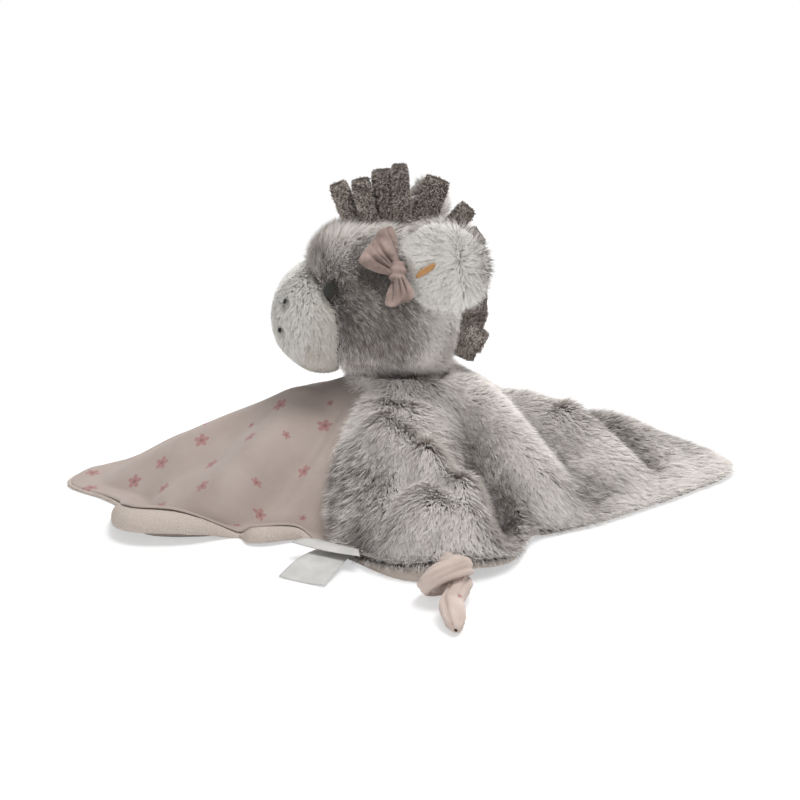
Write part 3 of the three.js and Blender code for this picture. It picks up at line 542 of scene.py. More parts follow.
def mixed_up(cells, seed):
    """A steady pseudo-random number from 0 to 1 for each cell of a grid."""
    value = cells[:, 0] * 73856093 ^ cells[:, 1] * 19349663 ^ cells[:, 2] * 83492791 ^ seed * 2654435
    value = (value ^ (value >> 13)) * 1274126177 & 0x7FFFFFFF
    return ((value ^ (value >> 16)) & 0xFFFF) / 0xFFFF


def clumps(points, size, seed):
    """The middle of the clump that each blade leans to, and that clump's own random shade."""
    cells = np.floor(points / size).astype(np.int64)
    nearest = np.full(len(points), np.inf)
    middles, shade = points.copy(), np.zeros(len(points))
    for offset in itertools.product((-1, 0, 1), repeat=3):
        cell = cells + np.array(offset)
        candidate = (cell + np.stack([mixed_up(cell, seed + k) for k in range(3)], axis=1)) * size
        distance = ((points - candidate) ** 2).sum(1)
        closer = distance < nearest
        nearest[closer] = distance[closer]
        middles[closer] = candidate[closer]
        shade[closer] = mixed_up(cell, seed + 7)[closer]
    return middles, shade


# %% Growing a pile
LOCK_STRETCH = 0.8
FULL_LOCK_REACH = 5
# The partings between locks are painted darker: painted shade where the locks part.
PARTING_SHADE = 0.4
LOWEST_BLADE = 0.3
ROOT_DEPTH = 0.4
BLADE_MAP_HEIGHTS = [0.01, 0.01, 0.5, 0.5, 0.99]


def without(vectors, ways):
    """Vectors without the part of them that runs along unit ways."""
    return vectors - (vectors * ways).sum(1, keepdims=True) * ways


def at(value, points):
    """A value that may be a number or a function of the place."""
    return value(points) if callable(value) else np.full(len(points), float(value))


def blade_mesh(name, corners, own_map, normals, material):
    """Blades of five points each, with their own map and with soft normals."""
    count = len(corners)
    base = np.arange(count)[:, None] * 5
    faces = np.concatenate([base + [0, 1, 2], base + [0, 2, 3], base + [3, 2, 4]], axis=1).ravel()
    mesh = bpy.data.meshes.new(name)
    mesh.vertices.add(count * 5)
    mesh.vertices.foreach_set("co", in_metres(corners.reshape(-1, 3)).ravel())
    mesh.loops.add(len(faces))
    mesh.loops.foreach_set("vertex_index", faces.astype(np.int32))
    mesh.polygons.add(count * 3)
    mesh.polygons.foreach_set("loop_start", np.arange(0, len(faces), 3, dtype=np.int32))
    mesh.uv_layers.new(name="OFBake").data.foreach_set("uv", own_map.reshape(-1, 2)[faces].ravel())
    mesh.materials.append(material)
    mesh.update(calc_edges=True)
    mesh.shade_smooth()
    mesh.normals_split_custom_set_from_vertices(np.repeat(normals, 5, axis=0))
    return mesh


def add_pile(name, skin, material, body, slot, count, length, flow, seed, width=0.32,
             lean=0.7, clump=2.4, pull=0.7, shade=0, weight=None, mottle=1.0):
    """Grows blades over a skin. length, shade and mottle may be functions of the place."""
    chance = np.random.default_rng(seed)
    roots, normals = scattered(skin, count, seed, weight)
    reach = (at(length, roots) * chance.uniform(0.7, 1.15, count))[:, None]
    side = unit(without(flow(roots, normals) + 0.25 * chance.normal(size=roots.shape), normals))
    middles, clump_shade = clumps(roots, clump, seed)
    draw = without(middles - roots, normals)
    draw -= LOCK_STRETCH * (draw * side).sum(1, keepdims=True) * side
    parting = smoothstep(np.linalg.norm(draw, axis=1) / clump, 0.2, 0.6)
    draw *= np.minimum(1, reach / FULL_LOCK_REACH)
    rise = math.sqrt(1 - lean * lean)
    start = roots - ROOT_DEPTH * normals
    bend = roots + reach * (0.5 * rise * normals + 0.38 * lean * side) + 0.35 * pull * draw
    tip = roots + reach * (0.92 * rise * normals + lean * side) + pull * draw
    tip += 0.07 * reach * chance.normal(size=tip.shape)
    for corner in (start, bend, tip):
        corner[:, 2] = np.maximum(corner[:, 2], LOWEST_BLADE)
    across = unit(np.cross(tip - start, normals))
    turn = chance.uniform(-0.9, 0.9, count)[:, None]
    across = unit(across * np.cos(turn) + normals * np.sin(turn)) * width / 2
    corners = np.stack(
        [start - across, start + across, bend + 0.9 * across, bend - 0.9 * across, tip], axis=1)
    # Each blade's tone: random per lock and per blade, painted shade in the partings, and the caller's shade,
    # which holds painted light and shade on the plush, head, muzzle and neck.
    uneven = 0.6 * (clump_shade - 0.5) - PARTING_SHADE * (parting - 0.3) + chance.uniform(-0.42, 0.3, count)
    tone = np.clip(0.5 + at(mottle, roots) * uneven + at(shade, roots), 0.02, 0.98)
    own_map = np.stack([np.repeat(tone[:, None], 5, axis=1), np.tile(BLADE_MAP_HEIGHTS, (count, 1))], axis=2)
    soft = unit(0.68 * normals + 0.32 * unit(np.cross(across, tip - start)))
    print(f"{name}: {count} blades")
    return settle(add_object(name, blade_mesh(name, corners, own_map, soft, material)), body, slot)


# %% [markdown]
# ## The draped blanket
# The cloth hangs from the neck like a tent whose hem lies on the floor. The drape is written as spokes
# round the neck, each with its reach, the way it drops and how far its hem curls up, and as folds that
# lie over it. The frame's solids have the same form. A few of their lifts, drops and folds are tuned here
# by some millimetres, and the small folds at the end of the list are only here.

# %% The drape's values
BLANKET_REACH = 168
SADDLE_HEIGHT, NAPE_RISE = 52, 7
COLLAR_SIDE_RISE, COLLAR_FRONT_RISE, COLLAR_SHARE = 8.3, 2, 0.16
NECK_HOLE_RADIUS = 23
FOLD_HEIGHT = 10
HEM_LIFT = 15
FLOOR_CUT = 0.5
LANDING_SHARE, PLUSH_LANDING_RISE = 0.9, 0.1
LIP_START_SHARE, PLUSH_LIP_EARLIER = 0.92, 0.37
LINING_ROLL, LIP_ROLL, LIP_BULGE = 2.6, 5, 3.5
VELOUR_THICKNESS, PRINT_THICKNESS, PLUSH_GROUND_THICKNESS = 1.6, 0.9, 1.6
CLEARANCE = 0.3

# Spokes: angle in degrees, then hem reach, drop power and hem lift as shares
SPOKE_SHARES = np.array([
    [-179, 0.982, 1.5, 0.02], [-172, 0.875, 1.5, 0.02], [-166, 0.83, 1.4, 0.1], [-159, 0.855, 1.3, 0.6],
    [-150, 0.865, 1.25, 1], [-144, 0.76, 1.2, 0.9], [-138, 0.625, 1.2, 0.08], [-131, 0.615, 1.2, 0.5],
    [-123, 0.53, 1.15, 0.35], [-114, 0.545, 1.15, 0], [-103, 0.6, 1.15, 0.05], [-90, 0.715, 1, 0.25],
    [-80, 0.75, 1, 0.5], [-68, 0.725, 1, 0.3], [-59, 0.63, 1.2, 0], [-51, 0.575, 1.2, 0.2],
    [-43, 0.58, 1.05, 0], [-28, 0.655, 1, 0], [-16, 0.735, 0.98, 0], [-4, 0.87, 0.98, 0.02],
    [5, 0.998, 0.98, 0.05], [12, 0.95, 0.98, 0.02], [24, 0.795, 1, 0], [38, 0.69, 1.15, 0.25],
    [52, 0.65, 1.15, 0.35], [66, 0.68, 1.1, 0.05], [80, 0.745, 1, 0.45], [92, 0.71, 1, 0.3],
    [108, 0.62, 1.15, 0], [122, 0.585, 1.2, 0.4], [136, 0.62, 1.2, 0], [152, 0.715, 1.3, 0.6],
    [166, 0.84, 1.4, 0.05], [174, 0.945, 1.5, 0.02],
])
FULL_TURN = [360, 0, 0, 0]
SPOKES_ROUND = np.concatenate([SPOKE_SHARES[-2:] - FULL_TURN, SPOKE_SHARES, SPOKE_SHARES[:2] + FULL_TURN])

# Folds: start x, start y, end x, end y and half width as shares of the reach, then height
FOLD_SHARES = [
    [0.0, -0.17, 0.08, -0.62, 0.13, 1.0], [-0.16, -0.2, -0.05, -0.6, 0.09, 0.35],
    [0.15, -0.1, 0.3, -0.56, 0.082, -1.35], [0.2, -0.06, 0.43, -0.33, 0.07, 1.0],
    [0.3, -0.02, 0.56, -0.27, 0.06, -0.45], [0.5, -0.02, 0.7, -0.16, 0.065, 0.75],
    [0.47, 0.14, 0.72, -0.06, 0.05, -0.7], [0.62, 0.16, 0.82, -0.04, 0.055, 0.3],
    [-0.3, -0.06, -0.48, -0.34, 0.09, 0.55], [-0.2, -0.16, -0.33, -0.33, 0.08, -0.45],
    [-0.62, -0.04, -0.72, -0.28, 0.07, 0.25], [0.02, 0.18, 0.09, 0.6, 0.12, 0.9],
    [0.2, 0.12, 0.4, 0.42, 0.09, -0.8], [0.3, 0.08, 0.62, 0.28, 0.08, -0.3],
    [-0.14, 0.2, -0.2, 0.5, 0.08, -0.5], [-0.28, 0.1, -0.5, 0.36, 0.1, 0.2],
    # Small folds of the near pad, which only this model has
    [-0.06, -0.3, 0.07, -0.45, 0.04, 0.5], [0.07, -0.45, 0.19, -0.53, 0.04, 0.6],
    [0.05, -0.46, -0.03, -0.6, 0.035, -0.45], [0.19, -0.53, 0.22, -0.64, 0.05, 0.7],
    [-0.13, -0.3, -0.12, -0.46, 0.035, 0.2],
]
RING_SHARES = [0, 0.14, 0.28, 0.42, 0.56, 0.68, 0.79, 0.88, 0.95, 1]
BOUNDARY_ANGLES = [-112, -117, -120, -120.5, -119, -116.5, -113, -109, -105, -102]


# %% The drape as a formula
def off_print(angles):
    """Degrees from the middle of the print, which lies towards -X."""
    return 180 - np.abs((angles + 180) % 360 - 180)


def spoke_values(angles):
    """Reach, drop power and lift at each angle, on a smooth closed curve through the spokes."""
    turned = (np.asarray(angles, float) + 179) % 360 - 179
    k = np.searchsorted(SPOKE_SHARES[:, 0], turned, side="right") + 1
    before, start, end, after = (SPOKES_ROUND[k + step] for step in (-1, 0, 1, 2))
    span = end[:, :1] - start[:, :1]
    t = (turned[:, None] - start[:, :1]) / span
    slope_in = (end[:, 1:] - before[:, 1:]) / (end[:, :1] - before[:, :1]) * span
    slope_out = (after[:, 1:] - start[:, 1:]) / (after[:, :1] - start[:, :1]) * span
    return ((2 * t**3 - 3 * t**2 + 1) * start[:, 1:] + (t**3 - 2 * t**2 + t) * slope_in
            + (3 * t**2 - 2 * t**3) * end[:, 1:] + (t**3 - t**2) * slope_out)


def fold_rise(x, y, share):
    rise = np.zeros_like(x)
    for x0, y0, x1, y1, half_width, height in FOLD_SHARES:
        way = np.array([x1 - x0, y1 - y0])
        length = np.linalg.norm(way)
        from_x, from_y = x / BLANKET_REACH - x0, y / BLANKET_REACH - y0
        t = (from_x * way[0] + from_y * way[1]) / length**2
        off = (from_x * way[1] - from_y * way[0]) / length
        past = np.maximum(0, np.maximum(-t, t - 1)) * length
        rise += height * np.exp(-(off**2 + 2 * past**2) / half_width**2)
    return rise * smoothstep(share, 0, 0.2) * (1 - smoothstep(share, 0.8, 1)) * FOLD_HEIGHT


def drape(angles, shares):
    """The underside of the cloth at angles in degrees and shares of the way from the neck to the hem."""
    angles, shares = np.broadcast_arrays(np.asarray(angles, float), np.asarray(shares, float))
    shape = angles.shape
    angles, shares = angles.ravel(), shares.ravel()
    reach, power, lift = spoke_values(angles).T
    radius = NECK_HOLE_RADIUS + shares * (reach * BLANKET_REACH - NECK_HOLE_RADIUS)
    backwards = np.cos(np.radians(angles))
    x, y = radius * backwards, radius * np.sin(np.radians(angles))
    nape = NAPE_RISE * np.maximum(0, backwards) ** 2
    gathered = COLLAR_SIDE_RISE * (1 - backwards**2) ** 2 + COLLAR_FRONT_RISE * np.maximum(0, -backwards) ** 2
    landing = LANDING_SHARE + PLUSH_LANDING_RISE * smoothstep(off_print(angles), 75, 100)
    drop = np.maximum(0, 1 - (np.clip(shares, 0, None) / landing) ** power)
    z = np.maximum((SADDLE_HEIGHT + nape) * drop - FLOOR_CUT + fold_rise(x, y, shares), -FLOOR_CUT)
    lip_start = LIP_START_SHARE - PLUSH_LIP_EARLIER * smoothstep(off_print(angles), 72, 88)
    lip_end = lip_start + 0.4 * (1 - LIP_START_SHARE) + 0.6 * (1 - lip_start)
    z = z + lift * HEM_LIFT * smoothstep(shares, lip_start, lip_end)
    z = z + gathered * (1 - smoothstep(shares, 0, COLLAR_SHARE))
    return np.stack([x, y, z], axis=1).reshape(*shape, 3)


def flat_map(grid, angles):
    """Each point's place on the flat cloth: its way from the neck, measured along the cloth."""
    steps = np.linalg.norm(np.diff(grid, axis=1), axis=2)
    walked = NECK_HOLE_RADIUS + np.concatenate([np.zeros((len(grid), 1)), np.cumsum(steps, axis=1)], axis=1)
    turn = np.radians(angles)
    return np.stack([walked * np.cos(turn), walked * np.sin(turn)], axis=2)


# %% Cloth layers
HEM_RINGS = 4


def layer_grid(first_share, last_share, columns, rings, whole=False):
    """Angles and ring shares between two places round the neck: 0 and 1 are the near and far seams of
    the print, 1 to 2 go round the plush."""
    ring = np.concatenate([np.linspace(0, 0.82, rings - 14)[:-1], np.linspace(0.82, 1, 15)])
    turn = np.linspace(first_share, last_share, columns, endpoint=not whole)[:, None]
    near = np.interp(ring, RING_SHARES, BOUNDARY_ANGLES)[None, :]
    on_print = near - turn * (360 + 2 * near)
    on_plush = -360 - near + (1 - turn) * (-2 * near)
    return np.where(turn <= 1, on_print, on_plush), np.broadcast_to(ring, on_print.shape)


def hem_way(grid):
    """The level way out over the hem."""
    return unit((grid[:, -1:] - grid[:, -3:-2]) * [1, 1, 0])


def curled(last, way, radius, turns, drop=1.0):
    """The hem's edge turned under, as rings that curl outwards and down from the last one."""
    turn = np.radians(turns)[None, :, None]
    return last + radius * (np.sin(turn) * way - drop * (1 - np.cos(turn)) * [0, 0, 1])


def rolled_hem(grid, radius):
    turns = np.linspace(0, 90, HEM_RINGS + 1)[1:]
    return np.concatenate([grid, curled(grid[:, -1:], hem_way(grid), radius, turns)], axis=1)


angles, shares = layer_grid(0, 2, 240, 58, whole=True)
lining = drape(angles, shares)
lining[..., 2] = np.maximum(lining[..., 2], 0) + VELOUR_THICKNESS / 2
way_out = hem_way(lining)
lift = np.maximum(0, spoke_values(angles[:, -1])[:, 2])[:, None, None]
up_lip = np.clip((shares[..., None] - LIP_START_SHARE) / (1 - LIP_START_SHARE), 0, 1)
lining += way_out * LIP_BULGE * lift * np.sin(math.pi * up_lip)
flatter = 1 - 0.75 * smoothstep(off_print(angles[:, -1]), 92, 106)[:, None, None]
roll = (LINING_ROLL + LIP_ROLL * lift) * flatter
beyond = curled(lining[:, -1:], way_out, roll, [18, 36, 54, 72, 90, 105], 0.9)
beyond[..., 2] = np.maximum(beyond[..., 2], VELOUR_THICKNESS / 2)
lining = np.concatenate([lining, beyond], axis=1)
velour = new_sheet("velour_lining", lining, VELOUR, VELOUR_THICKNESS, wrap_rows=True, edge=0.5)
settle(velour, "blanket", "velour", "blanket_backing")

angles, shares = layer_grid(0, 1, 170, 60)
print_grid = drape(angles, shares)
print_flat = np.pad(flat_map(print_grid, angles), ((0, 0), (0, HEM_RINGS), (0, 0)), mode="edge")
print_grid[..., 2] += VELOUR_THICKNESS + CLEARANCE + PRINT_THICKNESS / 2
print_grid[..., 2] += 0.35 * ripples(print_grid.reshape(-1, 3), 26, 3).reshape(print_grid.shape[:2])
printed = new_sheet("printed_cotton_panel", rolled_hem(print_grid, 0.7), PRINT, PRINT_THICKNESS, print_flat)
settle(printed, "blanket", "print_cotton", "blanket_print_panel")

plush_grid = drape(*layer_grid(1, 2, 230, 60))
plush_grid[..., 2] += VELOUR_THICKNESS + CLEARANCE + PLUSH_GROUND_THICKNESS / 2
plush_rolled = rolled_hem(plush_grid, 0.8)
plush = new_sheet("grey_plush_panel", plush_rolled, GREY_GROUND, PLUSH_GROUND_THICKNESS)
settle(plush, "blanket", "grey_plush", "blanket_plush_panel")


# %% Pile of the plush panel
PLUSH_PILES = 5
BLADES_PER_PILE = 56000


def round_neck(points):
    """Each point's angle round the neck."""
    return np.degrees(np.arctan2(points[:, 1], points[:, 0]))


def neck_share(points):
    """Each point's share of the way from the neck to the hem."""
    hem = spoke_values(round_neck(points))[:, 0] * BLANKET_REACH
    return (np.hypot(points[:, 0], points[:, 1]) - NECK_HOLE_RADIUS) / (hem - NECK_HOLE_RADIUS)


def plush_places(points):
    """Each point's share of the way out, its height in the folds, and how near it is to the print."""
    share = neck_share(points)
    rise = fold_rise(points[:, 0], points[:, 1], share) / FOLD_HEIGHT
    return share, rise, (1 - smoothstep(off_print(round_neck(points)), 74, 94)) * smoothstep(share, 0.3, 0.6)


def pressed_by_mane(points):
    """1 where the lowest strips of the mane press on the pile, behind the neck."""
    nape = 1 - smoothstep(neck_share(points), 0.12, 0.26)
    return bell(points[:, 1], 14) * nape * (points[:, 0] > 0)


def plush_flow(points, normals):
    """Brushed away from the neck and downhill, with swirls, over the seam with the print and up the neck."""
    over_seam = (1 - smoothstep(off_print(round_neck(points)), 70, 84))[:, None] * [-1, 0, 0]
    by_neck = (1 - smoothstep(neck_share(points), 0.01, 0.12)) * (1 - pressed_by_mane(points))
    return (unit(points * [1, 1, 0]) + 1.2 * normals * [1, 1, 0] + 0.45 * swirls(points, 60, 11, 12)
            + 1.8 * over_seam + 3 * by_neck[:, None] * normals)


def plush_length(points):
    """Shorter at the hem and under the mane, and longer round the neck."""
    share, pressed = neck_share(points), pressed_by_mane(points)
    by_neck = (1 - smoothstep(share, 0.02, 0.12)) * (1 - pressed) * (1 + 0.4 * ripples(points, 12, 14))
    return 8.2 - 2.4 * smoothstep(share, 0.93, 1) - 3.8 * pressed + 2 * by_neck


def plush_tone_and_painted_light(points):
    """Painted light on the ridges, by the neck, at the hem and most at the right tip, and painted shade in
    the valleys and beside the print, over some random unevenness.
    """
    share, rise, by_print = plush_places(points)
    painted_light_right = smoothstep(points[:, 0], 60, 140)
    painted_light_by_neck = 1 - smoothstep(share, 0.25, 0.5)
    return (0.14 + 0.55 * np.clip(rise, -1.1, 0.7) + 0.12 * ripples(points, 34, 5) - 0.5 * by_print
            + 0.3 * painted_light_by_neck + (0.15 + 0.6 * painted_light_right) * smoothstep(share, 0.84, 1))


def plush_mottle(points):
    """Smooth on the ridges, tufty in the valleys and beside the print."""
    share, rise, by_print = plush_places(points)
    return 0.5 + 0.7 * smoothstep(-rise, -0.4, 0.7) * smoothstep(share, 0.25, 0.5) + 1.1 * by_print


for k, section in enumerate(np.array_split(np.arange(len(plush_rolled) - 1), PLUSH_PILES)):
    part = plush_rolled[section[0]:section[-1] + 2] + [0, 0, PLUSH_GROUND_THICKNESS / 2]
    add_pile(
        f"plush_pile_{k + 1}", grid_skin(part), GREY_PILE, "blanket", "grey_plush", BLADES_PER_PILE,
        plush_length, plush_flow, 20 + k, lean=0.74, clump=2.3, pull=0.75, shade=plush_tone_and_painted_light,
        mottle=plush_mottle)

# %% [markdown]
# ## The head
# The head is a stuffed ball of grey plush with a white muzzle sewn on its front. A padded form starts as a
# sphere whose points are moved out to the head's rounded shape. The filling is simulated: the cover is held
# at its seams while pressure swells it, as fibre does, and the swelling is capped so that the head keeps
# the frame's size.

# %% The head's forms
HEAD_CENTRE = np.array([-8.0, 0, 98])
HEAD_RADII = np.array([36.0, 34, 36])
HEAD_FULLNESS = 3.5
MUZZLE_CENTRE = np.array([-38.2, 0, 89.0])
MUZZLE_RADII = np.array([24.0, 28, 27.5])
SIDES = {"near": -1, "far": 1}


def fullness(offsets, radii, power):
    """1 on a form's surface, with a squarer side view where the power is above 2."""
    side = np.abs(offsets[..., 0] / radii[0]) ** power + np.abs(offsets[..., 2] / radii[2]) ** power
    return np.sqrt(side ** (2 / power) + (offsets[..., 1] / radii[1]) ** 2)


def muzzle_fullness(points):
    """The same round the muzzle."""
    return fullness(points - MUZZLE_CENTRE, MUZZLE_RADII, 2)


def on_surface(centre, radii, power, length_share, height_share, side):
    """A place on a form's side, at shares of its half length and half height, and the way out there."""
    flat = (abs(length_share) ** power + abs(height_share) ** power) ** (2 / power)
    offset = np.array([length_share, side * math.sqrt(1 - flat), height_share]) * radii
    step = radii[0] / 1000
    here = fullness(offset, radii, power)
    slope = [fullness(offset + step * axis, radii, power) - here for axis in np.eye(3)]
    return centre + offset, unit(np.array(slope))


def on_head(shares, side):
    return on_surface(HEAD_CENTRE, HEAD_RADII, HEAD_FULLNESS, *shares, side)


def round_pad(name, centre, radii, power, material, subdivisions=5):
    """A closed padded form: a sphere whose points are moved out to the form."""
    bare_all()
    bpy.ops.mesh.primitive_ico_sphere_add(subdivisions=subdivisions, radius=1, location=(0, 0, 0))
    piece = bpy.context.object
    piece.name = piece.data.name = name
    directions = places(piece)
    set_places(piece, in_metres(directions / fullness(directions, radii, power)[:, None] + centre))
    piece.data.materials.append(material)
    piece.data.shade_smooth()
    return piece


# %% Filling a pad by simulation
FILL_PRESSURE, FILL_FRAMES = 4.0, 20


def fill_with_fibre(piece, seam, cap_mm):
    """Swells a pad by cloth simulation. seam gives 1 at points that the sewing holds, down to 0."""
    start = places(piece)
    held = piece.vertex_groups.new(name="seam")
    grip = seam((start - NECK_AXIS) / MM)
    for index in np.flatnonzero(grip > 0.02):
        held.add([int(index)], float(grip[index]), "REPLACE")
    cloth = add_modifier(piece, "CLOTH")
    cloth.settings.quality = 5
    cloth.settings.mass = 0.1
    cloth.settings.use_pressure = True
    cloth.settings.uniform_pressure_force = FILL_PRESSURE
    cloth.settings.vertex_group_mass = "seam"
    cloth.settings.effector_weights.gravity = 0
    cloth.point_cache.frame_start, cloth.point_cache.frame_end = 1, FILL_FRAMES
    for frame_number in range(1, FILL_FRAMES + 1):
        bpy.context.scene.frame_set(frame_number)
    apply_modifiers(piece)
    bpy.context.scene.frame_set(1)
    moved = places(piece) - start
    far = np.linalg.norm(moved, axis=1, keepdims=True)
    set_places(piece, start + moved * np.minimum(1, cap_mm * MM / np.maximum(far, 1e-9)))
    piece.vertex_groups.clear()
    print(f"{piece.name}: filled, moved {far.mean() / MM:.2f} mm on average before the cap")


# %% Head, muzzle and filling
SEAM_DEPTH = 1.6


def near_muzzle_seam(points):
    return bell(muzzle_fullness(points) - 1.02, 0.07)


def near_head_seams(points):
    near_mane_seam = bell(points[:, 1], 2.2) * (points[:, 2] > HEAD_CENTRE[2] - 22)
    return np.maximum(near_mane_seam, near_muzzle_seam(points))


head = round_pad("head_plush_cover", HEAD_CENTRE, HEAD_RADII - SEAM_DEPTH, HEAD_FULLNESS, GREY_GROUND)
fill_with_fibre(head, near_head_seams, SEAM_DEPTH)
settle(head, "head", "grey_plush", "head_cover")

muzzle = round_pad("muzzle_white_cover", MUZZLE_CENTRE, MUZZLE_RADII - 1, 2, WHITE_GROUND)
fill_with_fibre(muzzle, near_muzzle_seam, 1)
inside = round_pad("cutting_form", HEAD_CENTRE, HEAD_RADII + CLEARANCE, HEAD_FULLNESS, WHITE_GROUND, 4)
add_modifier(muzzle, "BOOLEAN", operation="DIFFERENCE", solver="EXACT", object=inside)
apply_modifiers(muzzle)
bpy.data.objects.remove(inside)
settle(muzzle, "head", "white_plush", "muzzle_cover")

filling = round_pad("fibre_filling", HEAD_CENTRE, HEAD_RADII - 5, HEAD_FULLNESS, FIBRE, 4)
lumps = (places(filling) - NECK_AXIS) / MM
lumps += unit(lumps - HEAD_CENTRE) * (1.2 * ripples(lumps, 14, 31))[:, None]
set_places(filling, in_metres(lumps))
settle(filling, "head", "filling", "head_filling")
print("muzzle has", len(muzzle.data.polygons), "faces")

# %% [markdown]
# The neck is a short stuffed tube with the cloth gathered round it. It is turned as a profile about the
# upright axis, and its dome sits in the head like a ball in a socket.

# %% Neck
# Profile: radius and height from bottom to top
NECK_PROFILE = np.array([
    (0, 46), (15, 46), (22.2, 46.6), (22.4, 50), (22.4, 54), (22.2, 57), (19.6, 58.8), (19.3, 64),
    (20.3, 67), (19.6, 72), (17.4, 77), (13.8, 81.4), (7.5, 85.3), (0, 86.5)], float)
radii, heights = NECK_PROFILE[1:-1, 0, None], NECK_PROFILE[1:-1, 1, None]
turns = np.linspace(0, 2 * math.pi, 64, endpoint=False)
rings = np.stack([radii * np.cos(turns), radii * np.sin(turns), heights + 0 * turns], axis=2)
neck = closed_tube("neck_plush", rings, GREY_GROUND, (0, 0, NECK_PROFILE[0, 1]), (0, 0, NECK_PROFILE[-1, 1]))
add_modifier(neck, "SUBSURF", levels=1, render_levels=1)
apply_modifiers(neck)
settle(neck, "neck", "grey_plush", "neck_core")

# %% [markdown]
# ## Sewn features of the face
# Eyes, nostrils and mouth are satin stitch: threads laid side by side over an underlay that runs the other
# way, so that the patch stands up from the plush. One stitch is modelled, and every other is its copy.

# %% One stitch
# The thread's way through the cloth: steps along and up, and how much it thickens at each
STITCH_STEPS = ((0.12, 0.22, 1.9), (0.38, 0.08, 1.2), (0.38, -0.08, 1 / 1.2), (0.12, -0.22, 1 / 1.9))


def model_stitch():
    """A stitch one millimetre long and wide: a thread that dips into the cloth at both ends."""
    bare_all()
    x, z = -0.5, -0.3
    bpy.ops.mesh.primitive_circle_add(vertices=7, radius=0.22, fill_type="NGON", location=(x, 0, z),
                                      rotation=(0, math.pi / 2, 0))
    stitch = bpy.context.object
    bpy.ops.object.transform_apply(location=True, rotation=True, scale=True)
    bpy.ops.object.mode_set(mode="EDIT")
    bpy.ops.mesh.select_all(action="SELECT")
    for along, rise, size in STITCH_STEPS:
        x, z = x + along, z + rise
        bpy.ops.mesh.extrude_region_move(TRANSFORM_OT_translate={"value": (along, 0, rise)})
        bpy.ops.transform.resize(value=(1, size, size), center_override=(x, 0, z))
    turn_outwards()
    points = places(stitch)
    faces = [tuple(face.vertices) for face in stitch.data.polygons]
    bpy.data.objects.remove(stitch)
    print(f"one stitch: {len(points)} points, {len(faces)} faces")
    return points, faces


STITCH_POINTS, STITCH_FACES = model_stitch()


def add_stitches(name, stitches, material):
    """One piece of many stitches, each given by its middle, its way and length, its out and its size."""
    points, faces = [], []
    for middle, way, length, out, width, height in stitches:
        side = np.cross(out, way)
        faces += [tuple(index + len(points) * len(STITCH_POINTS) for index in face) for face in STITCH_FACES]
        points.append(middle + STITCH_POINTS[:, :1] * length * way + STITCH_POINTS[:, 1:2] * width * side
                      + STITCH_POINTS[:, 2:] * height * out)
    return new_piece(name, np.concatenate(points), faces, material)


# %% Eyes, nostrils and mouth
EYE_SHARES, EYE_SIZE, EYE_STANDOFF = (-0.68, 0.3), 7.4, 1.9
MARK_WIDTH, MARK_HEIGHT, MARK_STANDOFF = 1.3, 2.5, 0.9
# Satin stitch: how far apart the stitches lie, and how thick the thread is
EYE_STITCH, MARK_STITCH = (0.48, 0.9), (0.4, 0.7)
# The muzzle's marks: name, the frame's name, and place as shares of the half length and half height
MARKS = [("nostril", "nostril", (-0.69, 0.42)), ("mouth", "mouth_stitch", (-0.8, -0.08))]
# Round a stitch the pile is pressed flat up to the first distance and full from the second
EYE_SPOT, MARK_SPOT = (4.8, 10.5), (1.2, 5)


def oval_stitches(place, out, width, height, step, size, seed):
    """Satin stitches across an oval, over upright underlay."""
    chance = np.random.default_rng(seed)
    across = unit(np.cross([0, 0, 1], out))
    up = np.cross(out, across)
    rows = [(place + x * width * across + 0.3 * out, up, 0.82 * height, out, size, size)
            for x in np.linspace(-0.3, 0.3, 4)]
    for y in np.arange(-height / 2 + step, height / 2, step):
        chord = math.sqrt(1 - (2 * y / height) ** 2)
        reach = width * chord * chance.uniform(0.93, 1.03)
        rows.append((place + y * up + (0.5 + 0.5 * chord) * out, across, reach, out, 1.5 * step, size))
    return rows


face_spots = []
for name, side in SIDES.items():
    place, out = on_head(EYE_SHARES, side)
    face_spots.append((place, place, *EYE_SPOT))
    stitches = oval_stitches(place + EYE_STANDOFF * out, out, EYE_SIZE, EYE_SIZE, *EYE_STITCH, 5)
    eye = add_stitches(f"eye_{name}_satin_stitch", stitches, DARK_THREAD)
    settle(eye, "head", "dark_thread", f"eye_{name}")
    for feature, node, shares in MARKS:
        place, out = on_surface(MUZZLE_CENTRE, MUZZLE_RADII, 2, *shares, side)
        face_spots.append((place, place, *MARK_SPOT))
        stitches = oval_stitches(
            place + MARK_STANDOFF * out, out, MARK_WIDTH, MARK_HEIGHT, *MARK_STITCH, 6)
        mark = add_stitches(f"{feature}_{name}_satin_stitch", stitches, DARK_THREAD)
        settle(mark, "head", "dark_thread", f"{node}_{name}")
print("face:", len(face_spots), "sewn features")

# %% [markdown]
# ## The ears
# Each ear has a white front panel and a grey back panel, sewn together round the rim and lightly filled.
# The root is flat and closed on the head's side. The near ear's front has a parting in its pile, and a
# short orange stitch near its root.

# %% Ear panels
EAR_LENGTH, EAR_WIDTH = 38, 40
EAR_ROOT_SHARES = (0.345, 0.61)
EAR_DIRECTIONS = {SIDES["near"]: unit(np.array([0.92, 0.36, 0.16])),
                  SIDES["far"]: unit(np.array([0.45, 0.85, 0.28]))}
EAR_SEAM_SHARE = 0.08
EAR_FRONT_THICKNESS, EAR_BACK_THICKNESS = 5.5, 3
THREAD_START, THREAD_LENGTH = 0.12 * EAR_LENGTH, 12
THREAD_STANDOFF, THREAD_WIDTH, THREAD_HEIGHT = 2.0, 1.9, 2.2


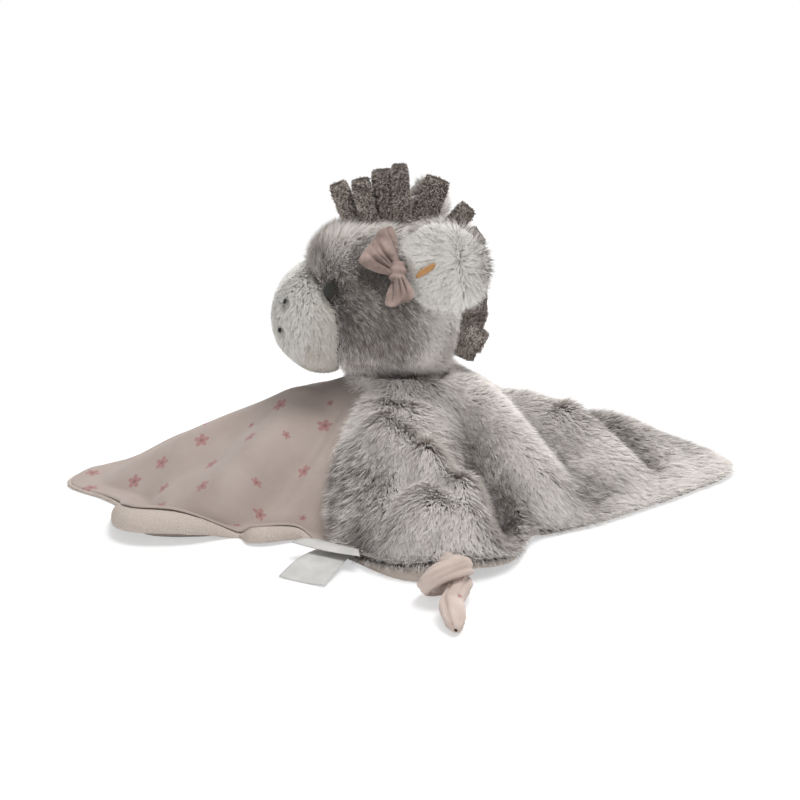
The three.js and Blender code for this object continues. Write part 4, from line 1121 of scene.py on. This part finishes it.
def ear_frame(side):
    """The ear's start, the way along it, out of its white face and up its width."""
    place, way_out = on_head(EAR_ROOT_SHARES, side)
    along = EAR_DIRECTIONS[side] * [1, side, 1]
    out = unit(-side * np.cross(along, [0, 0, 1]))
    return place + CLEARANCE * way_out, along, out, unit(-side * np.cross(out, along))


def ear_half_width(share):
    along = EAR_SEAM_SHARE + (1 - EAR_SEAM_SHARE) * share
    return EAR_WIDTH * np.sqrt(along * (1 - along))


def ear_crown(share, thickness):
    return thickness * (2 * ear_half_width(share) / EAR_WIDTH) ** 1.4


def ear_panel(name, side, face, thickness, material):
    """One cloth of an ear, filled, and trimmed where its root would enter the head."""
    start, along, out, width = ear_frame(side)
    shares = (1 - np.cos(np.linspace(0.12, math.pi - 0.18, 26))) / 2
    crown = ear_crown(shares, thickness)[:, None, None]
    turn = np.linspace(0, 2 * math.pi, 44, endpoint=False)[None, :, None]
    middle = start + shares[:, None, None] * EAR_LENGTH * along + face * (CLEARANCE / 2 + crown / 2) * out
    half = ear_half_width(shares)[:, None, None]
    grid = middle + np.cos(turn) * crown / 2 * out + np.sin(turn) * half * width
    grid = grid + 0.35 * ripples(grid.reshape(-1, 3), 16, 40 + side).reshape(*grid.shape[:2], 1) * out
    panel = closed_tube(name, grid, material, middle[0, 0] - 0.3 * along, middle[-1, 0] + 0.4 * along)
    local = (places(panel) - NECK_AXIS) / MM - HEAD_CENTRE
    deep = np.maximum(1, 1 / np.maximum(fullness(local, HEAD_RADII + CLEARANCE, HEAD_FULLNESS), 1e-6))
    set_places(panel, in_metres(local * deep[:, None] + HEAD_CENTRE))
    return panel


ears = {}
for name, side in SIDES.items():
    front = ear_panel(f"ear_{name}_white_panel", side, 1, EAR_FRONT_THICKNESS, WHITE_GROUND)
    back = ear_panel(f"ear_{name}_grey_panel", side, -1, EAR_BACK_THICKNESS, GREY_GROUND)
    settle(front, f"ear_{name}", "white_plush", f"ear_{name}_front")
    settle(back, f"ear_{name}", "grey_plush", f"ear_{name}_back")
    ears[name] = (front, back)

start, along, out, width = ear_frame(SIDES["near"])
thread_middle = THREAD_START + THREAD_LENGTH / 2
thread_height = CLEARANCE / 2 + ear_crown(thread_middle / EAR_LENGTH, EAR_FRONT_THICKNESS) + THREAD_STANDOFF
thread_rows = []
for k, shift in enumerate((-0.9, 0, 0.9)):
    middle = start + (thread_middle + 0.5 * k) * along + thread_height * out + shift * width
    thread_rows.append((middle, unit(along + 0.45 * width), THREAD_LENGTH - 1.2 * abs(shift), out,
                        THREAD_WIDTH, THREAD_HEIGHT))
orange = add_stitches("ear_orange_stitch", thread_rows, ORANGE_THREAD)
settle(orange, "ear_near", "orange_thread", "ear_near_stitch")
ear_mark = (start + THREAD_START * along, start + (THREAD_START + THREAD_LENGTH) * along)

# %% [markdown]
# ## The bow
# A band of dusty pink cotton is folded into two loops and held by a knot of the same band. A loop is one
# sheet that goes out, turns and comes back, gathered to half its width where the knot grips it. The folds
# start at the knot and open towards the loop's end.

# %% Bow
BOW_SHARES = (0.19, 0.52)
BOW_KNOT_WIDTH, BOW_KNOT_HEIGHT, BOW_KNOT_THICKNESS = 8, 10, 6.5
# Loops: turn in degrees, length, width and how far the end stands off
BOW_LOOPS = {"upper": (139, 19, 21, 0), "lower": (-76, 17, 11, 8)}
# Along a loop: share of its length, share of its width, height of its front in millimetres
LOOP_SHARES = np.array([
    [0, 0.36, 1.8], [0.3, 0.62, 3.2], [0.65, 0.86, 3.6], [0.92, 0.98, 2.6], [1, 0.96, 1.2]])
# Creases that start at the knot: place across the loop, half width, depth in millimetres
LOOP_CREASES = {"upper": [(-0.34, 0.14, 2.8), (0.42, 0.11, 2.2), (0.04, 0.07, 1.1)],
                "lower": [(-0.4, 0.16, 2.1), (0.3, 0.13, 2.2)]}
BOW_CLOTH = 0.45
BOW_RISE, BOW_STANDOFF = 1.2, 0.6
BACK_LAYER_SHIFT = 7
seat, bow_out = on_head(BOW_SHARES, SIDES["near"])
bow_right = unit(np.array([1.0, 0, 0]) - bow_out[0] * bow_out)
bow_up = unit(np.cross(bow_out, bow_right))
bow_middle = seat + (CLEARANCE + BOW_KNOT_THICKNESS / 2 + BOW_STANDOFF) * bow_out + BOW_RISE * bow_up


def bow_loop(name, way, length, width, standoff, creases):
    """A loop and its flat width and length in metres."""
    spread = unit(np.cross(bow_out, way))
    start = bow_middle + way * 0.2 * BOW_KNOT_WIDTH
    end = bow_middle + way * length + bow_out * standoff
    path = np.concatenate([np.linspace(0, 1, 30), np.linspace(1, 0, 30)[1:]])[:, None]
    face = np.cos(np.linspace(0, math.pi, len(path)))[:, None]
    face = np.sign(face) * np.abs(face) ** 0.3
    across = np.linspace(-1, 1, 45)[None, :]
    wide = np.interp(path, LOOP_SHARES[:, 0], LOOP_SHARES[:, 1]) * width / 2
    high = np.interp(path, LOOP_SHARES[:, 0], LOOP_SHARES[:, 2])
    groove = sum(depth * bell(across - place * (0.7 + 0.3 * path), reach)
                 for place, reach, depth in creases) * (1 - 0.7 * smoothstep(path, 0.5, 1.0))
    lift = np.where(face > 0, face * (high * np.sqrt(1.02 - across**2) - groove), 0.5 * face * high)
    run = path * (1 + 0.07 * bell(across + 0.55, 0.3) - 0.05 * across**4)
    behind = BACK_LAYER_SHIFT * (1 - face) / 2 * path
    grid = (start + run[..., None] * (end - start) + (across * wide - behind)[..., None] * spread
            + lift[..., None] * bow_out)
    flat_length = np.linalg.norm(np.diff(grid, axis=0), axis=2).sum(0).mean()
    flat_width = np.quantile(np.linalg.norm(np.diff(grid, axis=1), axis=2).sum(1), 0.75)
    return new_sheet(name, grid, BOW_COTTON, BOW_CLOTH), flat_width * MM, flat_length * MM


bow_ends = []
for name, (turn, length, width, standoff) in BOW_LOOPS.items():
    way = bow_right * math.cos(math.radians(turn)) + bow_up * math.sin(math.radians(turn))
    loop, flat_width, flat_length = bow_loop(
        f"bow_{name}_folded_loop", way, length, width, standoff, LOOP_CREASES[name])
    settle(loop, "head", "bow_cotton", f"bow_{name}_loop")
    reach = 0.55 * width
    bow_ends.append((bow_middle - 3 * bow_out, bow_middle + way * (length - 2), reach, reach + 7))

barrel = np.linspace(-1, 1, 25)[:, None]
turn = np.linspace(0, 2 * math.pi, 48, endpoint=False)[None, :]
swell = 0.55 + 0.45 * np.sqrt(np.clip(1 - barrel**4, 0, 1))
swell = swell * (1 + 0.12 * np.sin(7.5 * barrel + 1.2 * np.sin(turn + 0.6)) * (1 - barrel**6))
knot_grid = (bow_middle + (barrel * BOW_KNOT_HEIGHT / 2 + 0 * turn)[..., None] * bow_up
             + (swell * np.cos(turn) * BOW_KNOT_WIDTH / 2)[..., None] * bow_right
             + (swell * np.sin(turn) * BOW_KNOT_THICKNESS / 2)[..., None] * bow_out)
knot_ends = [bow_middle + end * bow_up * (BOW_KNOT_HEIGHT / 2 - 0.8) for end in (-1, 1)]
knot = closed_tube("bow_wrapped_knot", knot_grid, BOW_COTTON, *knot_ends)
settle(knot, "head", "bow_cotton", "bow_knot")

# %% [markdown]
# ## Pile of the head, muzzle, ears and neck
# The pile is brushed back from the muzzle and down the cheeks. It is darkest in the middle of the cheek,
# partly with painted shade, and painted light makes it silver along the crown and at the back. It is pressed
# short under the bow and parted round the eyes.

# %% Head pile
HEAD_BLADES = 57000
LEAST_LENGTH = 0.12


def kept_short(points, spots):
    """How much of its length the pile keeps near sewn things, each a line with an inner and outer reach."""
    share = np.ones(len(points))
    for start, end, inner, outer in spots:
        way = end - start
        t = np.clip((points - start) @ way / max(way @ way, 1e-9), 0, 1)
        off = np.linalg.norm(points - start - t[:, None] * way, axis=1)
        share = np.minimum(share, smoothstep(off, inner, outer))
    return LEAST_LENGTH + (1 - LEAST_LENGTH) * share


def head_flow(points, normals):
    """Back and up from the eyes over the forehead, and down where the cheek faces sideways."""
    back = unit(points - (MUZZLE_CENTRE + [-6, 0, 10]))
    return back + 0.85 * np.abs(normals[:, 1:2]) * [0, 0, -1] + 0.45 * swirls(points, 26, 61, 62, 63)


def head_tone_and_painted_light(points):
    """Salt and pepper, darkest in the middle of the cheek, partly painted shade under the bow and the ear;
    painted light towards the crown and the back; lighter towards the forehead by the muzzle and towards the
    chin.
    """
    x, z = points[:, 0], points[:, 2]
    off_cheek = np.sqrt(((x + 11) / 1.1) ** 2 + ((z - 103) / np.where(z < 103, 1.3, 1)) ** 2)
    return (-0.44 + 1.05 * smoothstep(off_cheek, 15, 34) + 0.14 * ripples(points, 24, 64)
            + 0.5 * smoothstep(x, -2, 18) + 0.3 * smoothstep(z, 119, 131)
            + 0.55 * (1 - smoothstep(muzzle_fullness(points), 1.0, 1.22)) * smoothstep(z, 92, 102))


def head_length(points):
    """Longer on the forehead, over the crown and where it hangs over the neck, and short at sewn things."""
    x, z = points[:, 0], points[:, 2]
    forehead = np.exp(-((x + 40) ** 2 + (z - 116) ** 2) / 16**2)
    hanging = (5 + 3 * ripples(points, 13, 66)) * (1 - smoothstep(z, 63, 76)) * smoothstep(x, -28, -8)
    length = 6.4 + 3.6 * forehead + 2.6 * smoothstep(z, 122, 132) + hanging
    return length * kept_short(points, face_spots + bow_ends)


def out_of_muzzle(points):
    return 1.0 * (muzzle_fullness(points) >= 0.97)


for k in (1, 2):
    add_pile(f"head_pile_{k}", mesh_skin(head), GREY_PILE, "head", "grey_plush", HEAD_BLADES, head_length,
             head_flow, 70 + k, clump=2.1, shade=head_tone_and_painted_light, weight=out_of_muzzle, mottle=1.2)


# %% Muzzle pile
MUZZLE_BLADES = 46000


def on_nose(points):
    """1 on the smooth front of the nose, 0 where the long cream pile of the jaw hangs."""
    return 1 - smoothstep(points[:, 0] - 0.25 * (points[:, 2] - 88), -52, -38)


def muzzle_flow(points, normals):
    """Down from the bridge of the nose, and a little back on the sides."""
    sideways = points[:, 1:2] / MUZZLE_RADII[1] * [0, 1, 0]
    return 0.5 * sideways + [0.25, 0, -1] + 0.22 * ripples(points, 22, 81)[:, None]


def muzzle_length(points):
    """Short on the nose and under the jaw, long on the cheeks, and pressed flat at the stitches."""
    under = 1 - smoothstep(points[:, 2], 66, 80)
    return (6.6 - 2.6 * on_nose(points)) * (1 - 0.55 * under) * kept_short(points, face_spots)


def out_of_head(points):
    return 1.0 * (fullness(points - HEAD_CENTRE, HEAD_RADII, HEAD_FULLNESS) >= 1.015)


# The muzzle's pile is lighter on the nose and darker towards the rear and the jaw: partly the cream of the
# jaw's pile, partly painted shade.
add_pile("muzzle_pile", mesh_skin(muzzle), WHITE_PILE, "head", "white_plush", MUZZLE_BLADES,
         muzzle_length, muzzle_flow, 80, lean=0.72, pull=0.6, shade=lambda p: -0.36 + 0.66 * on_nose(p),
         weight=out_of_head, mottle=lambda p: 0.9 - 0.65 * on_nose(p))

# %% Ear and neck piles
EAR_CREASE_SHARE = 0.76
EAR_BLADES = {"near": 22000, "far": 15000}
EAR_BACK_BLADES, EAR_BACK_LENGTH = 11000, 6.5
# The near ear's pile is pressed by the stitch and by the bow
EAR_SPOTS = {"near": [(*ear_mark, 1.6, 6), (bow_middle, bow_middle, 7, 12)], "far": []}
NECK_BLADES, NECK_OPEN = 9000, (53, 62.5)

for name, side in SIDES.items():
    front, back = ears[name]
    start, along, out, width = ear_frame(side)
    crease = start + EAR_CREASE_SHARE * EAR_LENGTH * along

    def ear_flow(points, normals):
        """Parted at a crease across the ear, and hanging a little."""
        parted = (2 * smoothstep((points - crease) @ along, -3, 1) - 1)[:, None] * along
        return parted + 0.07 * ((points - crease) @ width)[:, None] * width - [0, 0, 0.2]

    def ear_length(points):
        """Longest past the crease, with an uneven rim, and short at the stitch and the bow."""
        fluff = 2.4 + 2.7 * smoothstep((points - start) @ along, 20, 28)
        return fluff * (1 + 0.36 * ripples(points, 14, 91)) * kept_short(points, EAR_SPOTS[name])

    add_pile(f"ear_{name}_white_pile", mesh_skin(front), WHITE_PILE, f"ear_{name}", "white_plush",
             EAR_BLADES[name], ear_length, ear_flow, 90 + side, clump=2.6,
             shade=lambda p: 0.3 + 0.12 * ripples(p, 16, 92), mottle=0.6)
    add_pile(f"ear_{name}_grey_pile", mesh_skin(back), GREY_PILE, f"ear_{name}", "grey_plush",
             EAR_BACK_BLADES, EAR_BACK_LENGTH, ear_flow, 95 + side, lean=0.72,
             shade=lambda p: 0.35 + 0.1 * ripples(p, 20, 96))


def neck_length(points):
    """Shorter at the front, over the print, and under the mane."""
    under_mane = (points[:, 0] > 0) & (abs(points[:, 1]) < 14)
    return (8 + 2.5 * smoothstep(points[:, 0], -12, 2)) * np.where(under_mane, 0.7, 1)


# The neck's pile is painted light, against the shade in the gap under the head.
add_pile("neck_pile", mesh_skin(neck), GREY_PILE, "neck", "grey_plush", NECK_BLADES, neck_length,
         lambda p, n: [0, 0, -0.7] + n, 99, width=0.34, lean=0.5, shade=0.7, mottle=0.7,
         weight=lambda p: 1.0 * ((p[:, 2] > NECK_OPEN[0]) & (p[:, 2] < NECK_OPEN[1])))

# %% [markdown]
# ## The mane
# Thirteen short strips of taupe terry stand in the seam over the head. Each strip is a folded band: a sheet
# that goes across, turns at its fold and comes back. Terry is a ground with loops on it, so short curled
# tufts stand on the strip's outer faces.

# %% Mane
MANE_LENGTH, MANE_WIDTH, MANE_THICKNESS = 21, 8.5, 3
MANE_STAGGER = 1.8
TERRY_CLOTH, TERRY_LOOP = 1.5, 1.5
FOLD_GAP = 1.0
TERRY_BULGE = 1.4
LOOPS_PER_STRIP = 3300
LEVEL = np.array([0.0, 1, 0])
# Angle round the head from +X, lean, length share of the first, width share
MANE_SHARES = [
    (112, -1, 1.08, 0.92), (99, 4, 1.18, 0.92), (85, 13, 1.34, 1.1), (75, 19, 1.5, 0.8),
    (63, 7, 1.22, 1.4), (47, 3, 0.96, 0.95), (34, 0, 0.78, 1), (22, -2, 0.72, 1.05),
    (10, -2, 0.7, 1), (-2, 2, 0.7, 1.15), (-13, -8, 0.7, 1.2), (-24, -3, 0.75, 1.25), (-34, 8, 0.64, 1.05),
]


def upright(degrees):
    """The way at an angle round the head, in its middle plane, from +X."""
    return compass(degrees)[[0, 2, 1]]


def folded_section(width, gap):
    """A folded band's section: across the front layer, round the fold, and back."""
    turn = np.linspace(math.pi / 2, -math.pi / 2, 7)[1:-1]
    flat_part = np.linspace(width / 2, -width / 2 + gap, 9)
    front = np.stack([flat_part, np.full(9, gap)], axis=1)
    fold = np.stack([-width / 2 + gap - gap * np.cos(turn), gap * np.sin(turn)], axis=1)
    return np.concatenate([front, fold, front[::-1] * [1, -1]])


def mane_grid(section, start, out, length, chance):
    """The section carried up a strip, which bends, twists and splays a little by chance."""
    along = np.linspace(0, 1, 18)[:, None]
    bend = chance.uniform(-1.4, 1.4) * along**2
    twist = chance.uniform(-0.22, 0.22) * along
    wide = (1 - 0.22 * smoothstep(along, 0.82, 1.02) ** 2) * section[:, 0]
    a = wide * np.cos(twist) - section[:, 1] * np.sin(twist)
    b = section[:, 0] * np.sin(twist) + (1 + 0.25 * along**3) * section[:, 1] * np.cos(twist) + bend
    return (start + along[..., None] * length * out + a[..., None] * np.cross(LEVEL, out)
            + b[..., None] * LEVEL)


def terry_flow(points, normals):
    return np.random.default_rng(7).normal(size=points.shape)


for k, (angle, lean, length_share, width_share) in enumerate(MANE_SHARES):
    number = f"{k + 1:02d}"
    direction, out = upright(angle), upright(angle + lean)
    length, width = length_share * MANE_LENGTH + MANE_THICKNESS, width_share * MANE_WIDTH
    start = direction / fullness(direction, HEAD_RADII, HEAD_FULLNESS) + HEAD_CENTRE - MANE_THICKNESS * out
    start = start + LEVEL * (MANE_STAGGER if k % 2 == 0 else -MANE_STAGGER)
    section = folded_section(width, FOLD_GAP) * [1 if k % 3 else -1, 1]
    section[:, 1] += np.sign(section[:, 1]) * TERRY_BULGE * (1 - (2 * section[:, 0] / width) ** 2)
    grid = mane_grid(section, start, out, length, np.random.default_rng(110 + k))
    strip = new_sheet(f"mane_terry_strip_{number}", grid, TERRY_GROUND, TERRY_CLOTH)
    settle(strip, "head", "terry", f"mane_strip_{number}")
    outwards = unit(grid - grid.mean(axis=1, keepdims=True)) * 0.3
    outer = grid + outwards + np.sign(section[:, 1:]) * LEVEL * TERRY_CLOTH / 2
    loops = add_pile(
        f"mane_terry_loops_{number}", grid_skin(outer[:, ::-1] if k % 3 else outer), TERRY_PILE, "head",
        "terry", LOOPS_PER_STRIP, TERRY_LOOP, terry_flow, 130 + k, width=0.5, lean=0.6, clump=1.3, pull=0.8,
        shade=lambda p: 0.12 + 0.1 * ripples(p, 9, 140 + k), mottle=1.2)
    flat_width = np.linalg.norm(np.diff(section, axis=0), axis=1).sum()

# %% [markdown]
# ## The knotted tails
# A rolled strip of the printed cotton leaves each side corner and is tied in one overhand knot. The roll
# is a sheet swept along the knot's path, pleated lengthwise, flattened, and
# drawn to a point at its end.

# %% Tails
# Corners, as shares of the blanket's reach
TAIL_CORNERS = {"near": (0.13, -0.739), "far": (0.13, 0.736)}
# The knot's path: to the side, outwards and up, in millimetres from the corner
TAIL_PATH = [
    (1, 1, 8), (2, 9, 10.5), (4.5, 17, 13.5), (3, 25, 17), (-4, 29, 16), (-9, 25, 10.5), (-7.5, 18, 6),
    (-1, 14, 5.2), (4.5, 16.5, 6.5), (5.5, 24, 9.5), (3.5, 31, 8.5), (1, 38, 6.5), (1, 47, 5.5),
    (2, 60.5, 3.2)]
# The roll's radius in millimetres at shares of its length
ROLL_RADIUS = np.array([[0, 7.0], [0.1, 6.6], [0.2, 5.6], [0.35, 5.2], [0.5, 4.8], [0.65, 4.8], [0.78, 4.6],
                        [0.86, 6.0], [0.93, 5.2], [0.98, 2.6], [1, 0.9]])
ROLL_FLATTENING = 0.82
ROLL_CLOTH = 0.5


def smooth_path(points, count):
    """A smooth curve through points, by Catmull and Rom's rule."""
    points = np.asarray(points, float)
    padded = np.concatenate([[2 * points[0] - points[1]], points, [2 * points[-1] - points[-2]]])
    t = np.linspace(0, len(points) - 1 - 1e-9, count)
    k = t.astype(int)
    f = (t - k)[:, None]
    a, b, c, d = (padded[k + step] for step in range(4))
    curve = 0.5 * (2 * b + (c - a) * f + (2 * a - 5 * b + 4 * c - d) * f**2 + (3 * b - a - 3 * c + d) * f**3)
    walked = np.concatenate([[0], np.cumsum(np.linalg.norm(np.diff(curve, axis=0), axis=1))])
    even = np.linspace(0, walked[-1], count)
    return np.stack([np.interp(even, walked, curve[:, i]) for i in range(3)], axis=1), walked[-1]


def carried_sides(path):
    """Two directions across a path, carried along it without twisting."""
    ways = unit(np.gradient(path, axis=0))
    sides = [unit(np.cross(ways[0], [0, 0, 1]))]
    for way in ways:
        sides.append(unit(sides[-1] - (sides[-1] @ way) * way))
    sides = np.array(sides[1:])
    return sides, np.cross(sides, ways)


def add_tail(name, side):
    path, length = smooth_path(TAIL_PATH, 130)
    path = path * [1, side, 1] + np.array([*TAIL_CORNERS[name], 0]) * BLANKET_REACH
    sides, tops = carried_sides(path)
    share = np.linspace(0, 1, len(path))[:, None]
    turn = np.linspace(0, 2 * math.pi, 64, endpoint=False)[None, :]
    pleats = 1 + 0.09 * np.cos(5 * turn + 3 * share) + 0.05 * np.cos(9 * turn - 5 * share)
    wrinkle = 1 + 0.035 * np.sin(40 * share + 2 * np.sin(turn))
    radius = np.interp(share, ROLL_RADIUS[:, 0], ROLL_RADIUS[:, 1]) * pleats * wrinkle
    grid = (path[:, None] + (radius * np.cos(turn))[..., None] * sides[:, None]
            + (ROLL_FLATTENING * radius * np.sin(turn))[..., None] * tops[:, None])
    grid[..., 2] = np.maximum(grid[..., 2], 0.4 + 0.05 * np.sin(grid[..., 0]))
    around = np.linalg.norm(np.diff(grid, axis=1), axis=2).sum(1).max()
    flat = np.stack(np.broadcast_arrays(turn / (2 * math.pi) * around, share * length), axis=2)
    tail = new_sheet(f"tail_{name}_rolled_cotton", grid, KNOT_PRINT, ROLL_CLOTH, flat=flat, wrap_columns=True)
    settle(tail, f"tail_{name}", "knot_cotton", f"tail_{name}")
    print(f"tail {name}: roll {length:.0f} mm long, {around:.0f} mm of cloth round")


for name, side in SIDES.items():
    add_tail(name, side)

# %% [markdown]
# ## The label
# A folded strip of white satin is sewn in the hem, with a longer leaf under it. Both are left bare.

# %% Label
LABEL_WIDTH, LABEL_LENGTH, LABEL_THICKNESS = 24, 36, 0.8
LABEL_ROOT_WIDTH, LABEL_ROOT_HEIGHT, LABEL_RISE = 17, 2.8, 2.5
TAB_LENGTH, TAB_DEPTH, TAB_RISE = 36, 14, 4
LABEL_TURN, LABEL_SEAM_TURN = -118, -106


def hem_place(angle):
    return spoke_values([angle])[0, 0] * BLANKET_REACH * compass(angle)


def satin_leaf(name, node, root, reach, end_width, sag):
    """A leaf of the label, from its seam in the hem out along the label's way."""
    level = np.array([-label_way[1], label_way[0], 0])
    share = np.linspace(0, 1, 26)[:, None, None]
    across = unit(seam_way + (level - seam_way) * np.minimum(1, 2 * share))
    v = np.linspace(-1, 1, 18)[None, :, None]
    half = (LABEL_ROOT_WIDTH + share * (end_width - LABEL_ROOT_WIDTH)) / 2
    curl = 0.5 * share * v**2 + 0.25 * np.sin(5 * share + 2 * v)
    lift = LABEL_RISE * np.sin(math.pi * share) - sag * share + curl
    grid = root + label_way * share * reach + across * half * v + np.array([0, 0, 1]) * lift
    grid[..., 2] = np.maximum(grid[..., 2], LABEL_THICKNESS / 4 + 0.05)
    leaf = settle(new_sheet(name, grid, SATIN, LABEL_THICKNESS / 2), "label", "satin", node)


label_way = compass(LABEL_TURN)
seam_way = unit(hem_place(LABEL_SEAM_TURN + 5) - hem_place(LABEL_SEAM_TURN - 5))
root = hem_place(LABEL_SEAM_TURN) + 0.9 * np.array([seam_way[1], -seam_way[0], 0]) + [0, 0, LABEL_ROOT_HEIGHT]
satin_leaf("label_satin_leaf", "label_leaf", root, LABEL_LENGTH, LABEL_WIDTH,
           LABEL_ROOT_HEIGHT - LABEL_THICKNESS / 2)
satin_leaf("label_satin_tab", "label_tab", root + [0, 0, LABEL_THICKNESS + CLEARANCE], TAB_DEPTH, TAB_LENGTH,
           -TAB_RISE)
